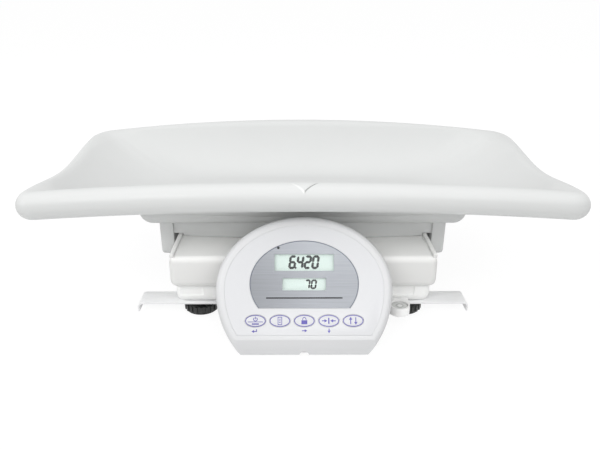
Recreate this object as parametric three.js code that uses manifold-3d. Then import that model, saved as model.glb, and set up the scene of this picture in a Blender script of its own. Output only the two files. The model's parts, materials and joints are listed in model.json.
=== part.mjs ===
// Digital baby weighing scale: a cradle tray on a carrier, a weighing platform on a load cell,
// a chassis on levelling feet, and a tilted display head in front.
// Millimetres, +Z up, +X to the right of someone facing the display, -Y towards that person.

import * as THREE from 'three';
import { mergeVertices } from 'three/addons/utils/BufferGeometryUtils.js';
import Module from 'manifold-3d';

// Clearances
const GAP = 0.3;
const PAST = 1;

// Tray
const TRAY_HALF_LENGTH = 300;
const TRAY_HALF_WIDTH = 162;
const TRAY_SIDE_BOW = 14;
const TRAY_END_BOW = 2;
const TRAY_CORNER = 30;
const TRAY_WALL = 3;
const RIM_TOP = 172;
const RIM_SIDE_DROP = 16;
const RIM_END_DIP = 12;
const RIM_ROLL = 15;
const RIM_TURN = THREE.MathUtils.degToRad(155);
const RIM_CORNER_EASE = 24;
const TROUGH_FLOOR = 111;
const TROUGH_LENGTH_SHARE = 0.6;
const TROUGH_WIDTH_SHARE = 0.4;
const TROUGH_SQUARENESS = 2.4;

// Tray carrier
const FLANGE_HALF_LENGTH = 189;
const FLANGE_HALF_WIDTH = 76;
const FLANGE_BOTTOM = 96;
const FLANGE_TOP = 132;
const FLANGE_PLATE = 3;
const FLANGE_WALL = 8.5;
const FLANGE_ROUND = 10;
const FLANGE_CORNER = 16;
const WEB_HALF_LENGTH = 154;
const WEB_HALF_WIDTH = 50;
const WEB_BOW = 9;
const WEB_BOTTOM = 78.5;
const WEB_SKIRT_HALF_LENGTH = 142;
const WEB_SKIRT_BOTTOM = 75.5;
const WEB_WALL = 3;
const CHEEK_INNER = 153;
const CHEEK_OUTER = 168.5;
const CHEEK_HALF_WIDTH = 55;
const CHEEK_BOTTOM = 51;
const CARRIER_POST_X = 100;
const CARRIER_POST_Y = 34;

// Weighing platform
const COVER_HALF_LENGTH = 149;
const COVER_HALF_WIDTH = 115;
const COVER_BOTTOM = 38;
const COVER_TOP = 75;
const COVER_WALL = 2.6;
const COVER_CORNER = 8;
const COVER_EDGE = 2.5;
const END_RIB_HEIGHT = 3;
const END_RIB_WIDTH = 5;
const FRAME_BOTTOM = 60;
const FRAME_TOP = 63;
const BUFFER_X = 108;
const BUFFER_Y = 78;

// Chassis
const CHASSIS_HALF_LENGTH = 144.5;
const CHASSIS_HALF_WIDTH = 108;
const CHASSIS_BOTTOM = 16.3;
const CHASSIS_TOP = 46;
const CHASSIS_WALL = 2.6;
const CHASSIS_FLOOR = 3;
const CHASSIS_CORNER = 9;

// Load cell
const CELL_HALF_LENGTH = 62;
const CELL_WIDTH = 30;
const CELL_BOTTOM = 27.9;
const CELL_HEIGHT = 20;
const CELL_TRAVEL = 0.8;
const CELL_BOLT_X = [-52, -36];

// Levelling feet
const FOOT_X = 118;
const FOOT_Y = 90;
const SOLE_RADIUS = 18;
const SOLE_HEIGHT = 2.2;
const WHEEL_RADIUS = 20.5;
const WHEEL_HEIGHT = 7.5;
const WHEEL_TEETH = 28;
const STEM_RADIUS = 4;
const STEM_TOP = 34;
const FOOT_BOSS_RADIUS = 9;

// Side brackets
const BRACKET_REACH = 189;
const BRACKET_INNER = 96;
const BRACKET_WIDTH = 28;
const BRACKET_SHEET = 2;
const BRACKET_DROP = 11;
const BRACKET_BEND = 3;

// Spirit level
const LEVEL_X = 107;
const LEVEL_Y = -125;
const LEVEL_TOP = 23;
const LEVEL_RADIUS = 11.4;
const LEVEL_HEIGHT = 10;
const VIAL_RADIUS = 9.2;

// Batteries
const BATTERY_RADIUS = 7.1;
const BATTERY_LENGTH = 50;
const BATTERY_PITCH = 15.2;
const BATTERY_COUNT = 4;
const BATTERY_BAY_X = 53;
const BATTERY_BAY_Y = 58;
const DOOR_LENGTH = 68;
const DOOR_WIDTH = 68;
const DOOR_SHEET = 1.8;

// Display head, in its own frame: X across, Y up along the face, Z out of the face
const HEAD_TILT = THREE.MathUtils.degToRad(60);
const HEAD_FRONT = -194;
const HEAD_FACE_FOOT = 20.5;
const HEAD_BOTTOM = 3;
const HEAD_HALF_WIDTH = 91;
const HEAD_WIDEST = 52;
const HEAD_RISE = 74.5;
const HEAD_FALL = 96;
const HEAD_SEAM = -13;
const HEAD_BACK = -30;
const HEAD_WALL = 2.4;
const BEZEL_ROUND = 6;
const OVERLAY_INSET = 9.5;
const PANEL_HALF_WIDTH = 55.8;
const PANEL_WIDEST = 57;
const PANEL_RISE = 44;
const PANEL_FALL = 46;
const PANEL_FOOT = 31.8;
const UPPER_LCD = { width: 61, height: 17.2, y: 78.4 };
const LOWER_LCD = { width: 44.5, height: 12.6, y: 56.2 };
const KEY_HALF_WIDTH = 10.6;
const KEY_HALF_HEIGHT = 6.2;
const KEY_PITCH = 24.8;
const KEY_Y = 19.1;
const KEY_COUNT = 5;
const KEY_TRAVEL = 0.5;
const LED_X = -26.7;
const LED_Y = 93.6;
const NOTCH_RADIUS = 4.8;

// Solid modelling

const wasm = await Module();
wasm.setup();

function toSolid(geometry) {
  const bare = geometry.index ? geometry.toNonIndexed() : geometry.clone();
  bare.deleteAttribute('normal');
  bare.deleteAttribute('uv');
  const merged = mergeVertices(bare, 1e-4);
  return new wasm.Manifold(new wasm.Mesh({
    numProp: 3,
    vertProperties: new Float32Array(merged.attributes.position.array),
    triVerts: new Uint32Array(merged.index.array),
  }));
}

function toGeometry(solid) {
  const { vertProperties, triVerts } = solid.getMesh();
  const geometry = new THREE.BufferGeometry();
  geometry.setAttribute('position', new THREE.BufferAttribute(new Float32Array(vertProperties), 3));
  geometry.setIndex(new THREE.BufferAttribute(new Uint32Array(triVerts), 1));
  geometry.computeVertexNormals();
  return geometry;
}

function join(first, ...others) {
  return toGeometry(others.reduce((sum, other) => sum.add(toSolid(other)), toSolid(first)));
}

function cut(first, ...tools) {
  return toGeometry(tools.reduce((rest, tool) => rest.subtract(toSolid(tool)), toSolid(first)));
}

function common(first, second) {
  return toGeometry(toSolid(first).intersect(toSolid(second)));
}

// Shapes that many pieces share

function box(x0, x1, y0, y1, z0, z1) {
  const geometry = new THREE.BoxGeometry(x1 - x0, y1 - y0, z1 - z0);
  geometry.translate((x0 + x1) / 2, (y0 + y1) / 2, (z0 + z1) / 2);
  return geometry;
}

function upright(radius, z0, z1, x = 0, y = 0, sides = 24) {
  const geometry = new THREE.CylinderGeometry(radius, radius, z1 - z0, sides);
  geometry.rotateX(Math.PI / 2);
  geometry.translate(x, y, (z0 + z1) / 2);
  return geometry;
}

// A solid turned about Z from pairs of radius and height that start and end on the axis
function turned(profile, sides) {
  const geometry = new THREE.LatheGeometry(profile.map(([r, z]) => new THREE.Vector2(r, z)), sides);
  geometry.rotateX(Math.PI / 2);
  return toGeometry(toSolid(geometry));
}

function slab(shape, z0, z1, curveSegments = 6) {
  const geometry = new THREE.ExtrudeGeometry(shape, { depth: z1 - z0, bevelEnabled: false, curveSegments });
  geometry.translate(0, 0, z0);
  return geometry;
}

function roundedOutline(halfLength, halfWidth, radius) {
  const shape = new THREE.Shape();
  shape.moveTo(halfLength, -halfWidth + radius);
  shape.absarc(halfLength - radius, halfWidth - radius, radius, 0, Math.PI / 2);
  shape.absarc(-halfLength + radius, halfWidth - radius, radius, Math.PI / 2, Math.PI);
  shape.absarc(-halfLength + radius, -halfWidth + radius, radius, Math.PI, 1.5 * Math.PI);
  shape.absarc(halfLength - radius, -halfWidth + radius, radius, 1.5 * Math.PI, 2 * Math.PI);
  return shape.getPoints(3).slice(0, -1);
}

function oval(halfWidth, halfHeight, x = 0, y = 0) {
  const shape = new THREE.Shape();
  shape.absellipse(x, y, halfWidth, halfHeight, 0, 2 * Math.PI);
  return shape;
}

// A closed outline moved inwards by a distance, corner by corner
function inset(outline, distance) {
  return outline.map((point, i) => {
    const before = outline[(i + outline.length - 1) % outline.length];
    const after = outline[(i + 1) % outline.length];
    const first = new THREE.Vector2().subVectors(point, before).normalize();
    const second = new THREE.Vector2().subVectors(after, point).normalize();
    const inwards = new THREE.Vector2(-first.y - second.y, first.x + second.x).normalize();
    const along = inwards.dot(new THREE.Vector2(-first.y, first.x));
    return point.clone().addScaledVector(inwards, distance / along);
  });
}

// A closed skin through rings of equal point count, wound anticlockwise seen from the last ring
function loft(rings) {
  const count = rings[0].length;
  const points = rings.flat();
  const triangles = [];
  for (let ring = 0; ring < rings.length - 1; ring += 1) {
    for (let i = 0; i < count; i += 1) {
      const next = (i + 1) % count;
      const a = ring * count + i;
      const b = ring * count + next;
      triangles.push(a, b, b + count, a, b + count, a + count);
    }
  }
  for (const [ring, turned] of [[0, true], [rings.length - 1, false]]) {
    const centre = points.length;
    const sum = rings[ring].reduce((total, point) => total.add(point), new THREE.Vector3());
    points.push(sum.divideScalar(count));
    for (let i = 0; i < count; i += 1) {
      const here = ring * count + i;
      const next = ring * count + ((i + 1) % count);
      triangles.push(centre, turned ? next : here, turned ? here : next);
    }
  }
  const geometry = new THREE.BufferGeometry().setFromPoints(points);
  geometry.setIndex(triangles);
  geometry.computeVertexNormals();
  return geometry;
}

function ringAt(outline, z) {
  return outline.map((point) => new THREE.Vector3(point.x, point.y, z));
}

// A block with upright sides and a rounded edge along its top or its bottom
function roundedBlock(outline, z0, z1, radius, { top = true, steps = 4 } = {}) {
  const rings = [ringAt(outline, top ? z0 : z1)];
  for (let i = 0; i <= steps; i += 1) {
    const angle = (i / steps) * (Math.PI / 2);
    const inwards = radius * (1 - Math.cos(angle));
    const rise = radius * Math.sin(angle);
    rings.push(ringAt(inset(outline, inwards), top ? z1 - radius + rise : z0 + radius - rise));
  }
  return loft(top ? rings : rings.reverse());
}

// Materials

function material(color, roughness, metalness = 0) {
  return new THREE.MeshStandardMaterial({ color, roughness, metalness });
}

const product = new THREE.Group();

function place(name, geometry, finish, parent = product) {
  const mesh = new THREE.Mesh(geometry, finish);
  mesh.name = name;
  parent.add(mesh);
  return mesh;
}

const corners = [
  ['front_left', -1, -1],
  ['front_right', 1, -1],
  ['rear_right', 1, 1],
  ['rear_left', -1, 1],
];

// Tray: one lofted shell with a trough and an arched rim rolled over to a half-round edge

function trayOutline() {
  const endX = TRAY_HALF_LENGTH - TRAY_END_BOW;
  const sideY = TRAY_HALF_WIDTH - TRAY_SIDE_BOW;
  const cornerX = endX - TRAY_CORNER;
  const cornerY = sideY - TRAY_CORNER;
  const quarter = [
    [new THREE.QuadraticBezierCurve(
      new THREE.Vector2(endX, 0),
      new THREE.Vector2(endX, cornerY / 2),
      new THREE.Vector2(endX - TRAY_END_BOW / 2, cornerY),
    ), 3],
    [new THREE.QuadraticBezierCurve(
      new THREE.Vector2(endX - TRAY_END_BOW / 2, cornerY),
      new THREE.Vector2(endX - TRAY_END_BOW, sideY),
      new THREE.Vector2(cornerX, sideY + 2),
    ), 6],
    [new THREE.QuadraticBezierCurve(
      new THREE.Vector2(cornerX, sideY + 2),
      new THREE.Vector2(cornerX / 2, TRAY_HALF_WIDTH),
      new THREE.Vector2(0, TRAY_HALF_WIDTH),
    ), 6],
  ];
  const stretch = TRAY_HALF_LENGTH / endX;
  const first = quarter.flatMap(([curve, steps]) => curve.getPoints(steps).slice(0, -1));
  first.forEach((point) => point.setX(point.x * stretch));
  const top = new THREE.Vector2(0, TRAY_HALF_WIDTH);
  const half = [...first, top, ...first.slice(1).reverse().map((p) => new THREE.Vector2(-p.x, p.y))];
  const left = new THREE.Vector2(-TRAY_HALF_LENGTH, 0);
  return [...half, left, ...half.slice(1).reverse().map((p) => new THREE.Vector2(p.x, -p.y))];
}

function rimHeight(point) {
  const along = point.x / TRAY_HALF_LENGTH;
  const across = Math.min(1, Math.abs(point.y) / (TRAY_HALF_WIDTH - TRAY_SIDE_BOW - 9));
  const nearEnd = THREE.MathUtils.smoothstep(Math.abs(point.x), 0.8 * TRAY_HALF_LENGTH, TRAY_HALF_LENGTH);
  const dip = RIM_END_DIP * Math.cos((across * Math.PI) / 2) ** 2 * nearEnd;
  return RIM_TOP - RIM_SIDE_DROP * along * along - dip;
}

// The place on the trough's floor, between an oval and a rectangle, where the wall from one rim station ends
function troughFoot(edge) {
  const along = Math.abs(edge.x / TRAY_HALF_LENGTH) ** TROUGH_SQUARENESS;
  const across = Math.abs(edge.y / TRAY_HALF_WIDTH) ** TROUGH_SQUARENESS;
  const share = (along + across) ** (-1 / TROUGH_SQUARENESS);
  return new THREE.Vector2(edge.x * TROUGH_LENGTH_SHARE * share, edge.y * TROUGH_WIDTH_SHARE * share);
}

// How far inwards the crest of the rim runs on before the wall falls away, widest at the corners
function crestReach(edge) {
  const nearEnd = THREE.MathUtils.smoothstep(Math.abs(edge.x), 0.74 * TRAY_HALF_LENGTH, 0.98 * TRAY_HALF_LENGTH);
  const nearSide = THREE.MathUtils.smoothstep(Math.abs(edge.y), 0.4 * TRAY_HALF_WIDTH, 0.9 * TRAY_HALF_WIDTH);
  return RIM_ROLL + RIM_CORNER_EASE * nearEnd * nearSide;
}

// The half section at one station of the rim, from the trough's foot up the wall and over the rim.
// The steps count the wall, the crest's inner side, its outer side and the turned-under edge.
function traySection(edge, inwards, thickness, [wall, inner, outer, lip]) {
  const foot = troughFoot(edge);
  const apex = rimHeight(edge);
  const crest = edge.clone().addScaledVector(inwards, RIM_ROLL);
  const towards = new THREE.Vector2().subVectors(foot, crest).normalize();
  const reach = crestReach(edge);
  const slope = (2 * (apex - RIM_ROLL / 3 - TROUGH_FLOOR)) / (crest.distanceTo(foot) - RIM_ROLL);
  const innerTurn = Math.atan((slope * reach) / RIM_ROLL);
  const wallTop = crest.clone().addScaledVector(towards, reach * Math.sin(innerTurn));
  const run = wallTop.distanceTo(foot);
  const drop = apex - RIM_ROLL * (1 - Math.cos(innerTurn)) - TROUGH_FLOOR;
  const pull = drop / slope;
  const points = [];
  const add = (plan, height) => points.push(new THREE.Vector3(plan.x, plan.y, height));
  for (let i = wall; i >= 1; i -= 1) {
    const t = i / wall;
    const across = 2 * (1 - t) * t * pull + t * t * run;
    const fall = (1 - t) ** 2 * drop;
    const tangent = new THREE.Vector2(2 * (1 - 2 * t) * pull + 2 * t * run, -2 * (1 - t) * drop).normalize();
    const plan = wallTop.clone().addScaledVector(towards, across + tangent.y * thickness);
    add(plan, TROUGH_FLOOR + fall - tangent.x * thickness);
  }
  const radius = RIM_ROLL - thickness;
  const centreHeight = apex - RIM_ROLL;
  for (let i = 0; i < inner; i += 1) {
    const angle = innerTurn * (1 - i / inner);
    const plan = crest.clone().addScaledVector(towards, (reach - thickness) * Math.sin(angle));
    add(plan, centreHeight + radius * Math.cos(angle));
  }
  for (let i = 0; i <= outer + lip; i += 1) {
    const past = Math.max(0, i - outer) / lip;
    const angle = Math.min(i / outer, 1) * (Math.PI / 2) + past * (RIM_TURN - Math.PI / 2);
    const plan = crest.clone().addScaledVector(inwards, -radius * Math.sin(angle));
    add(plan, centreHeight + radius * Math.cos(angle));
  }
  return points;
}

// The sections at every station round the rim, each a row of points
function traySections(thickness, steps) {
  const outline = trayOutline();
  const inner = inset(outline, 1);
  return outline.map((edge, i) => {
    const inwards = new THREE.Vector2().subVectors(inner[i], edge).normalize();
    return traySection(edge, inwards, thickness, steps);
  });
}

function loftStations(stations) {
  return loft(stations[0].map((_, row) => stations.map((station) => station[row])));
}

const UNDER_WALL_STEPS = 4;

function trayGeometry() {
  const over = traySections(0, [5, 2, 4, 2]);
  const under = traySections(TRAY_WALL, [UNDER_WALL_STEPS, 1, 3, 1]);
  return loftStations(under.map((row, i) => [...row, ...over[i].reverse()]));
}

place('tray', trayGeometry(), material(0xe6e7e6, 0.32));

// Tray carrier: rounded flange under the trough, two cheeks, hanging web notched over the cover's end ribs

function bowedRectangle(halfLength, halfWidth, bow, steps = 8) {
  const points = [];
  for (const side of [-1, 1]) {
    for (let i = 0; i <= steps; i += 1) {
      const x = halfLength * (-1 + (2 * i) / steps) * -side;
      points.push(new THREE.Vector2(x, side * (halfWidth + bow * (1 - (x / halfLength) ** 2))));
    }
  }
  return points;
}

function carrierGeometry() {
  const ribTop = TROUGH_FLOOR - TRAY_WALL - GAP - 0.1;
  const outline = roundedOutline(FLANGE_HALF_LENGTH, FLANGE_HALF_WIDTH, FLANGE_CORNER);
  const block = roundedBlock(outline, FLANGE_BOTTOM, FLANGE_TOP, FLANGE_ROUND, { top: false, steps: 4 });
  const walls = traySections(TRAY_WALL + GAP, [UNDER_WALL_STEPS, 1, 1, 1]);
  const trayRoom = loftStations(walls.map((row) => row.slice(0, UNDER_WALL_STEPS + 1)));
  const flange = cut(block, trayRoom);
  const pocketOutline = inset(outline, FLANGE_WALL);
  const pocket = slab(new THREE.Shape(pocketOutline), FLANGE_BOTTOM + FLANGE_PLATE, FLANGE_TOP + PAST);
  const web = slab(
    new THREE.Shape(bowedRectangle(WEB_HALF_LENGTH, WEB_HALF_WIDTH, WEB_BOW).reverse()),
    WEB_SKIRT_BOTTOM,
    FLANGE_BOTTOM + PAST,
  );
  const notches = [-1, 1].map((side) => box(
    side < 0 ? -WEB_HALF_LENGTH - PAST : WEB_SKIRT_HALF_LENGTH,
    side < 0 ? -WEB_SKIRT_HALF_LENGTH : WEB_HALF_LENGTH + PAST,
    -WEB_HALF_WIDTH - WEB_BOW, WEB_HALF_WIDTH + WEB_BOW, WEB_SKIRT_BOTTOM - PAST, WEB_BOTTOM,
  ));
  const webRoom = slab(
    new THREE.Shape(bowedRectangle(WEB_HALF_LENGTH - WEB_WALL, WEB_HALF_WIDTH - WEB_WALL, WEB_BOW).reverse()),
    WEB_SKIRT_BOTTOM - PAST,
    FLANGE_BOTTOM,
  );
  const ribEnd = FLANGE_HALF_WIDTH - FLANGE_WALL + 1.5;
  const ribs = [-80, 0, 80].map((x) => box(x - 1.5, x + 1.5, -ribEnd, ribEnd, FLANGE_BOTTOM + 1, ribTop));
  const spineEnd = FLANGE_HALF_LENGTH - FLANGE_WALL + 1.5;
  const spine = box(-spineEnd, spineEnd, -1.5, 1.5, FLANGE_BOTTOM + 1, ribTop);
  const cheekProfile = new THREE.Shape();
  const round = 6;
  const footHalf = CHEEK_HALF_WIDTH - 3;
  cheekProfile.moveTo(-CHEEK_HALF_WIDTH, FLANGE_BOTTOM + 1);
  cheekProfile.lineTo(-footHalf, CHEEK_BOTTOM + round);
  cheekProfile.quadraticCurveTo(-footHalf, CHEEK_BOTTOM, -footHalf + round, CHEEK_BOTTOM);
  cheekProfile.lineTo(footHalf - round, CHEEK_BOTTOM);
  cheekProfile.quadraticCurveTo(footHalf, CHEEK_BOTTOM, footHalf, CHEEK_BOTTOM + round);
  cheekProfile.lineTo(CHEEK_HALF_WIDTH, FLANGE_BOTTOM + 1);
  const cheeks = [-1, 1].map((side) => {
    const cheek = slab(cheekProfile, 0, CHEEK_OUTER - CHEEK_INNER);
    cheek.rotateX(Math.PI / 2);
    cheek.rotateZ(Math.PI / 2);
    cheek.translate(side < 0 ? -CHEEK_OUTER : CHEEK_INNER, 0, 0);
    const hollow = box(
      side < 0 ? -CHEEK_OUTER - PAST : CHEEK_INNER + WEB_WALL,
      side < 0 ? -CHEEK_INNER - WEB_WALL : CHEEK_OUTER + PAST,
      -CHEEK_HALF_WIDTH + 9, CHEEK_HALF_WIDTH - 9, CHEEK_BOTTOM + 8, FLANGE_BOTTOM - 6,
    );
    return cut(cheek, hollow);
  });
  const posts = corners.map(([, x, y]) => upright(
    13, WEB_BOTTOM, FLANGE_BOTTOM + 1, x * CARRIER_POST_X, y * CARRIER_POST_Y, 12,
  ));
  const screwHoles = corners.flatMap(([, x, y]) => [
    upright(2 + GAP, WEB_BOTTOM - PAST, ribTop + PAST, x * CARRIER_POST_X, y * CARRIER_POST_Y, 8),
    upright(4.8, WEB_BOTTOM - PAST, FLANGE_BOTTOM - 4, x * CARRIER_POST_X, y * CARRIER_POST_Y, 10),
  ]);
  const tops = corners.map(([, x, y]) => upright(
    8, FLANGE_BOTTOM + 1, ribTop, x * CARRIER_POST_X, y * CARRIER_POST_Y, 10,
  ));
  const shell = cut(join(flange, cut(web, ...notches)), pocket, webRoom);
  return cut(join(shell, ...ribs, spine, ...cheeks, ...posts, ...tops), ...screwHoles);
}

place('tray_carrier', carrierGeometry(), material(0xdcdddb, 0.4));

// Head up, shank down from the origin
function screwGeometry(shankRadius, shankLength, headRadius, headHeight) {
  return turned([
    [0, -shankLength], [shankRadius, -shankLength], [shankRadius, 0], [headRadius, 0],
    [headRadius, headHeight * 0.6], [headRadius * 0.75, headHeight], [0, headHeight],
  ], 8);
}

corners.forEach(([corner, x, y]) => {
  const screw = place(`tray_screw_${corner}`, screwGeometry(2, 13.5, 4, 2.4), material(0x9a9c9e, 0.35, 0.9));
  screw.position.set(x * CARRIER_POST_X, y * CARRIER_POST_Y, FLANGE_BOTTOM - 4 - GAP);
  screw.rotation.x = Math.PI;

  const padGeometry = cut(
    upright(12, COVER_TOP + GAP, WEB_BOTTOM - GAP, 0, 0, 14),
    upright(5, COVER_TOP, WEB_BOTTOM, 0, 0, 8),
  );
  const pad = place(`carrier_pad_${corner}`, padGeometry, material(0x2b2c2d, 0.85));
  pad.position.set(x * CARRIER_POST_X, y * CARRIER_POST_Y, 0);
});

// Platform cover: an upturned shell with rounded top edges and a rib along each end

function coverGeometry() {
  const outline = roundedOutline(COVER_HALF_LENGTH, COVER_HALF_WIDTH, COVER_CORNER);
  const outer = roundedBlock(outline, COVER_BOTTOM, COVER_TOP, COVER_EDGE, { steps: 3 });
  const room = roundedBlock(
    inset(outline, COVER_WALL), COVER_BOTTOM - PAST, COVER_TOP - COVER_WALL, 1.5, { steps: 1 },
  );
  const ribEnd = COVER_HALF_WIDTH - 3;
  const ribs = [-1, 1].map((side) => {
    const profile = new THREE.Shape();
    profile.moveTo(0, -2);
    profile.lineTo(END_RIB_WIDTH, -2);
    profile.lineTo(END_RIB_WIDTH, END_RIB_HEIGHT - 1.5);
    profile.quadraticCurveTo(END_RIB_WIDTH, END_RIB_HEIGHT, END_RIB_WIDTH - 1.5, END_RIB_HEIGHT);
    profile.lineTo(1.5, END_RIB_HEIGHT);
    profile.quadraticCurveTo(0, END_RIB_HEIGHT, 0, END_RIB_HEIGHT - 1.5);
    const rib = slab(profile, -ribEnd, ribEnd, 3);
    rib.rotateX(Math.PI / 2);
    const ribOuter = COVER_HALF_LENGTH - 1.2;
    rib.translate(side < 0 ? -ribOuter : ribOuter - END_RIB_WIDTH, 0, COVER_TOP);
    return rib;
  });
  const sockets = corners.map(([, x, y]) => cut(
    upright(11, COVER_TOP - 6, COVER_TOP - 1, x * BUFFER_X, y * BUFFER_Y, 12),
    upright(8.6, COVER_TOP - 7, COVER_TOP - COVER_WALL, x * BUFFER_X, y * BUFFER_Y, 12),
  ));
  return join(cut(outer, room), ...ribs, ...sockets);
}

place('platform_cover', coverGeometry(), material(0xe0e1df, 0.38));

// Load frame: a pressed cross that stands on the free end of the load cell

function frameGeometry() {
  const arm = 30;
  const shape = new THREE.Shape();
  shape.moveTo(-BUFFER_X - 12, -BUFFER_Y - 12);
  shape.lineTo(-BUFFER_X + 22, -BUFFER_Y - 12);
  shape.lineTo(-arm, -arm);
  shape.lineTo(arm, -arm);
  shape.lineTo(BUFFER_X - 22, -BUFFER_Y - 12);
  shape.lineTo(BUFFER_X + 12, -BUFFER_Y - 12);
  shape.lineTo(BUFFER_X + 12, -BUFFER_Y + 16);
  shape.lineTo(arm + 34, 0);
  shape.lineTo(BUFFER_X + 12, BUFFER_Y - 16);
  shape.lineTo(BUFFER_X + 12, BUFFER_Y + 12);
  shape.lineTo(BUFFER_X - 22, BUFFER_Y + 12);
  shape.lineTo(arm, arm);
  shape.lineTo(-arm, arm);
  shape.lineTo(-BUFFER_X + 22, BUFFER_Y + 12);
  shape.lineTo(-BUFFER_X - 12, BUFFER_Y + 12);
  shape.lineTo(-BUFFER_X - 12, BUFFER_Y - 16);
  shape.lineTo(-arm - 34, 0);
  shape.lineTo(-BUFFER_X - 12, -BUFFER_Y + 16);
  const plate = slab(shape, FRAME_BOTTOM, FRAME_TOP);
  const cellTop = CELL_BOTTOM + CELL_HEIGHT;
  const boss = box(34, 60, -CELL_WIDTH / 2, CELL_WIDTH / 2, cellTop + CELL_TRAVEL + 0.4, FRAME_BOTTOM + 1);
  const lips = [-1, 1].map((side) => box(
    -arm, arm, side < 0 ? -arm : arm - 2, side < 0 ? -arm + 2 : arm, FRAME_BOTTOM - 6, FRAME_BOTTOM + 1,
  ));
  const holes = [-7.5, 7.5].map((y) => upright(3 + GAP, cellTop, FRAME_TOP + PAST, 47, y, 12));
  return cut(join(plate, boss, ...lips), ...holes);
}

place('load_frame', frameGeometry(), material(0xb9bcc0, 0.45, 0.85));

[-7.5, 7.5].forEach((y, i) => {
  const bolt = place(`frame_bolt_${i + 1}`, screwGeometry(3, 12, 5, 4), material(0x8e9194, 0.35, 0.9));
  bolt.position.set(47, y, FRAME_TOP + GAP);
});

const bufferGeometry = turned([
  [0, FRAME_TOP + GAP], [10, FRAME_TOP + GAP], [10, FRAME_TOP + 4], [8, FRAME_TOP + 5],
  [8, COVER_TOP - COVER_WALL - GAP], [0, COVER_TOP - COVER_WALL - GAP],
], 12);
corners.forEach(([corner, x, y]) => {
  const buffer = place(`cover_buffer_${corner}`, bufferGeometry, material(0x252627, 0.85));
  buffer.position.set(x * BUFFER_X, y * BUFFER_Y, 0);
});

// Chassis: a shallow tub with foot bosses, load cell pad, battery opening and door rails

function chassisGeometry() {
  const outline = roundedOutline(CHASSIS_HALF_LENGTH, CHASSIS_HALF_WIDTH, CHASSIS_CORNER);
  const outer = roundedBlock(outline, CHASSIS_BOTTOM, CHASSIS_TOP, 3, { top: false, steps: 2 });
  const floorTop = CHASSIS_BOTTOM + CHASSIS_FLOOR;
  const room = slab(new THREE.Shape(inset(outline, CHASSIS_WALL)), floorTop, CHASSIS_TOP + PAST);
  const tub = cut(outer, room);

  const bosses = corners.map(([, x, y]) => upright(
    FOOT_BOSS_RADIUS, CHASSIS_BOTTOM + 1, STEM_TOP + 4, x * FOOT_X, y * FOOT_Y, 10,
  ));
  const cellPad = box(-64, -26, -18, 18, CHASSIS_BOTTOM + 1, CELL_BOTTOM - 4 - GAP);
  const ribX = [-80, 8].map((x) => box(
    x - 1, x + 1, -CHASSIS_HALF_WIDTH + 2, -22, floorTop - 1, floorTop + 9,
  ));
  const ribY = box(-FOOT_X, FOOT_X, -FOOT_Y + 28, -FOOT_Y + 30, floorTop - 1, floorTop + 9);
  const railWidth = 6;
  const railStart = BATTERY_BAY_Y - DOOR_WIDTH / 2;
  const railEnd = BATTERY_BAY_Y + DOOR_WIDTH / 2;
  const railLow = CHASSIS_BOTTOM - 4.6;
  const rails = [-1, 1].map((side) => {
    const inner = BATTERY_BAY_X + side * (DOOR_LENGTH / 2 + GAP);
    const outerX = inner + side * railWidth;
    const lipX = inner - side * 3;
    return join(
      box(Math.min(inner, outerX), Math.max(inner, outerX), railStart, railEnd, railLow, CHASSIS_BOTTOM + 1),
      box(Math.min(lipX, outerX), Math.max(lipX, outerX), railStart, railEnd, railLow, CHASSIS_BOTTOM - 2.7),
    );
  });
  const solid = join(tub, ...bosses, cellPad, ...ribX, ribY, ...rails);

  const stemHoles = corners.map(([, x, y]) => upright(
    STEM_RADIUS + 0.5, CHASSIS_BOTTOM - PAST, STEM_TOP + 3.4, x * FOOT_X, y * FOOT_Y, 10,
  ));
  const bay = box(
    BATTERY_BAY_X - 30, BATTERY_BAY_X + 30, BATTERY_BAY_Y - 31, BATTERY_BAY_Y + 31,
    CHASSIS_BOTTOM - PAST, floorTop + PAST,
  );
  const boltHoles = CELL_BOLT_X.flatMap((x) => [
    upright(3.5, CHASSIS_BOTTOM - PAST, CELL_BOTTOM, x, 0, 10),
    upright(5.6, CHASSIS_BOTTOM - PAST, CHASSIS_BOTTOM + 4, x, 0, 10),
  ]);
  const frontRecesses = [[-140, -113], [102, 126]].map(([x0, x1]) => box(
    x0, x1, -CHASSIS_HALF_WIDTH - PAST, -CHASSIS_HALF_WIDTH + 1.2, 25.5, 37,
  ));
  const socketHole = box(
    -97 - GAP, -83 + GAP, CHASSIS_HALF_WIDTH - 4, CHASSIS_HALF_WIDTH + PAST, 21 - GAP, 32 + GAP,
  );
  const levelPeg = box(
    LEVEL_X - 5 - GAP, LEVEL_X + 5 + GAP, -CHASSIS_HALF_WIDTH - PAST, -CHASSIS_HALF_WIDTH + 4,
    LEVEL_TOP - 7 + 1 - GAP, LEVEL_TOP - 2 + GAP,
  );
  return cut(solid, ...stemHoles, bay, ...boltHoles, ...frontRecesses, socketHole, levelPeg);
}

place('chassis', chassisGeometry(), material(0xd8dad7, 0.42));

// Load cell: an aluminium beam thinned by two joined bores, on a steel spacer

function loadCellGeometry() {
  const top = CELL_BOTTOM + CELL_HEIGHT;
  const middle = (CELL_BOTTOM + top) / 2;
  const beam = box(-CELL_HALF_LENGTH, CELL_HALF_LENGTH, -CELL_WIDTH / 2, CELL_WIDTH / 2, CELL_BOTTOM, top);
  const bores = [-12, 12].map((x) => {
    const bore = new THREE.CylinderGeometry(8, 8, CELL_WIDTH + 2, 16);
    bore.translate(x, 0, middle);
    return bore;
  });
  const slot = box(-12, 12, -CELL_WIDTH / 2 - PAST, CELL_WIDTH / 2 + PAST, middle - 3, middle + 3);
  const boltHoles = CELL_BOLT_X.map((x) => upright(3 + GAP, CELL_BOTTOM - PAST, CELL_BOTTOM + 12, x, 0, 12));
  return cut(beam, ...bores, slot, ...boltHoles);
}

place('load_cell', loadCellGeometry(), material(0xc4c8cc, 0.35, 0.9));

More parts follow.
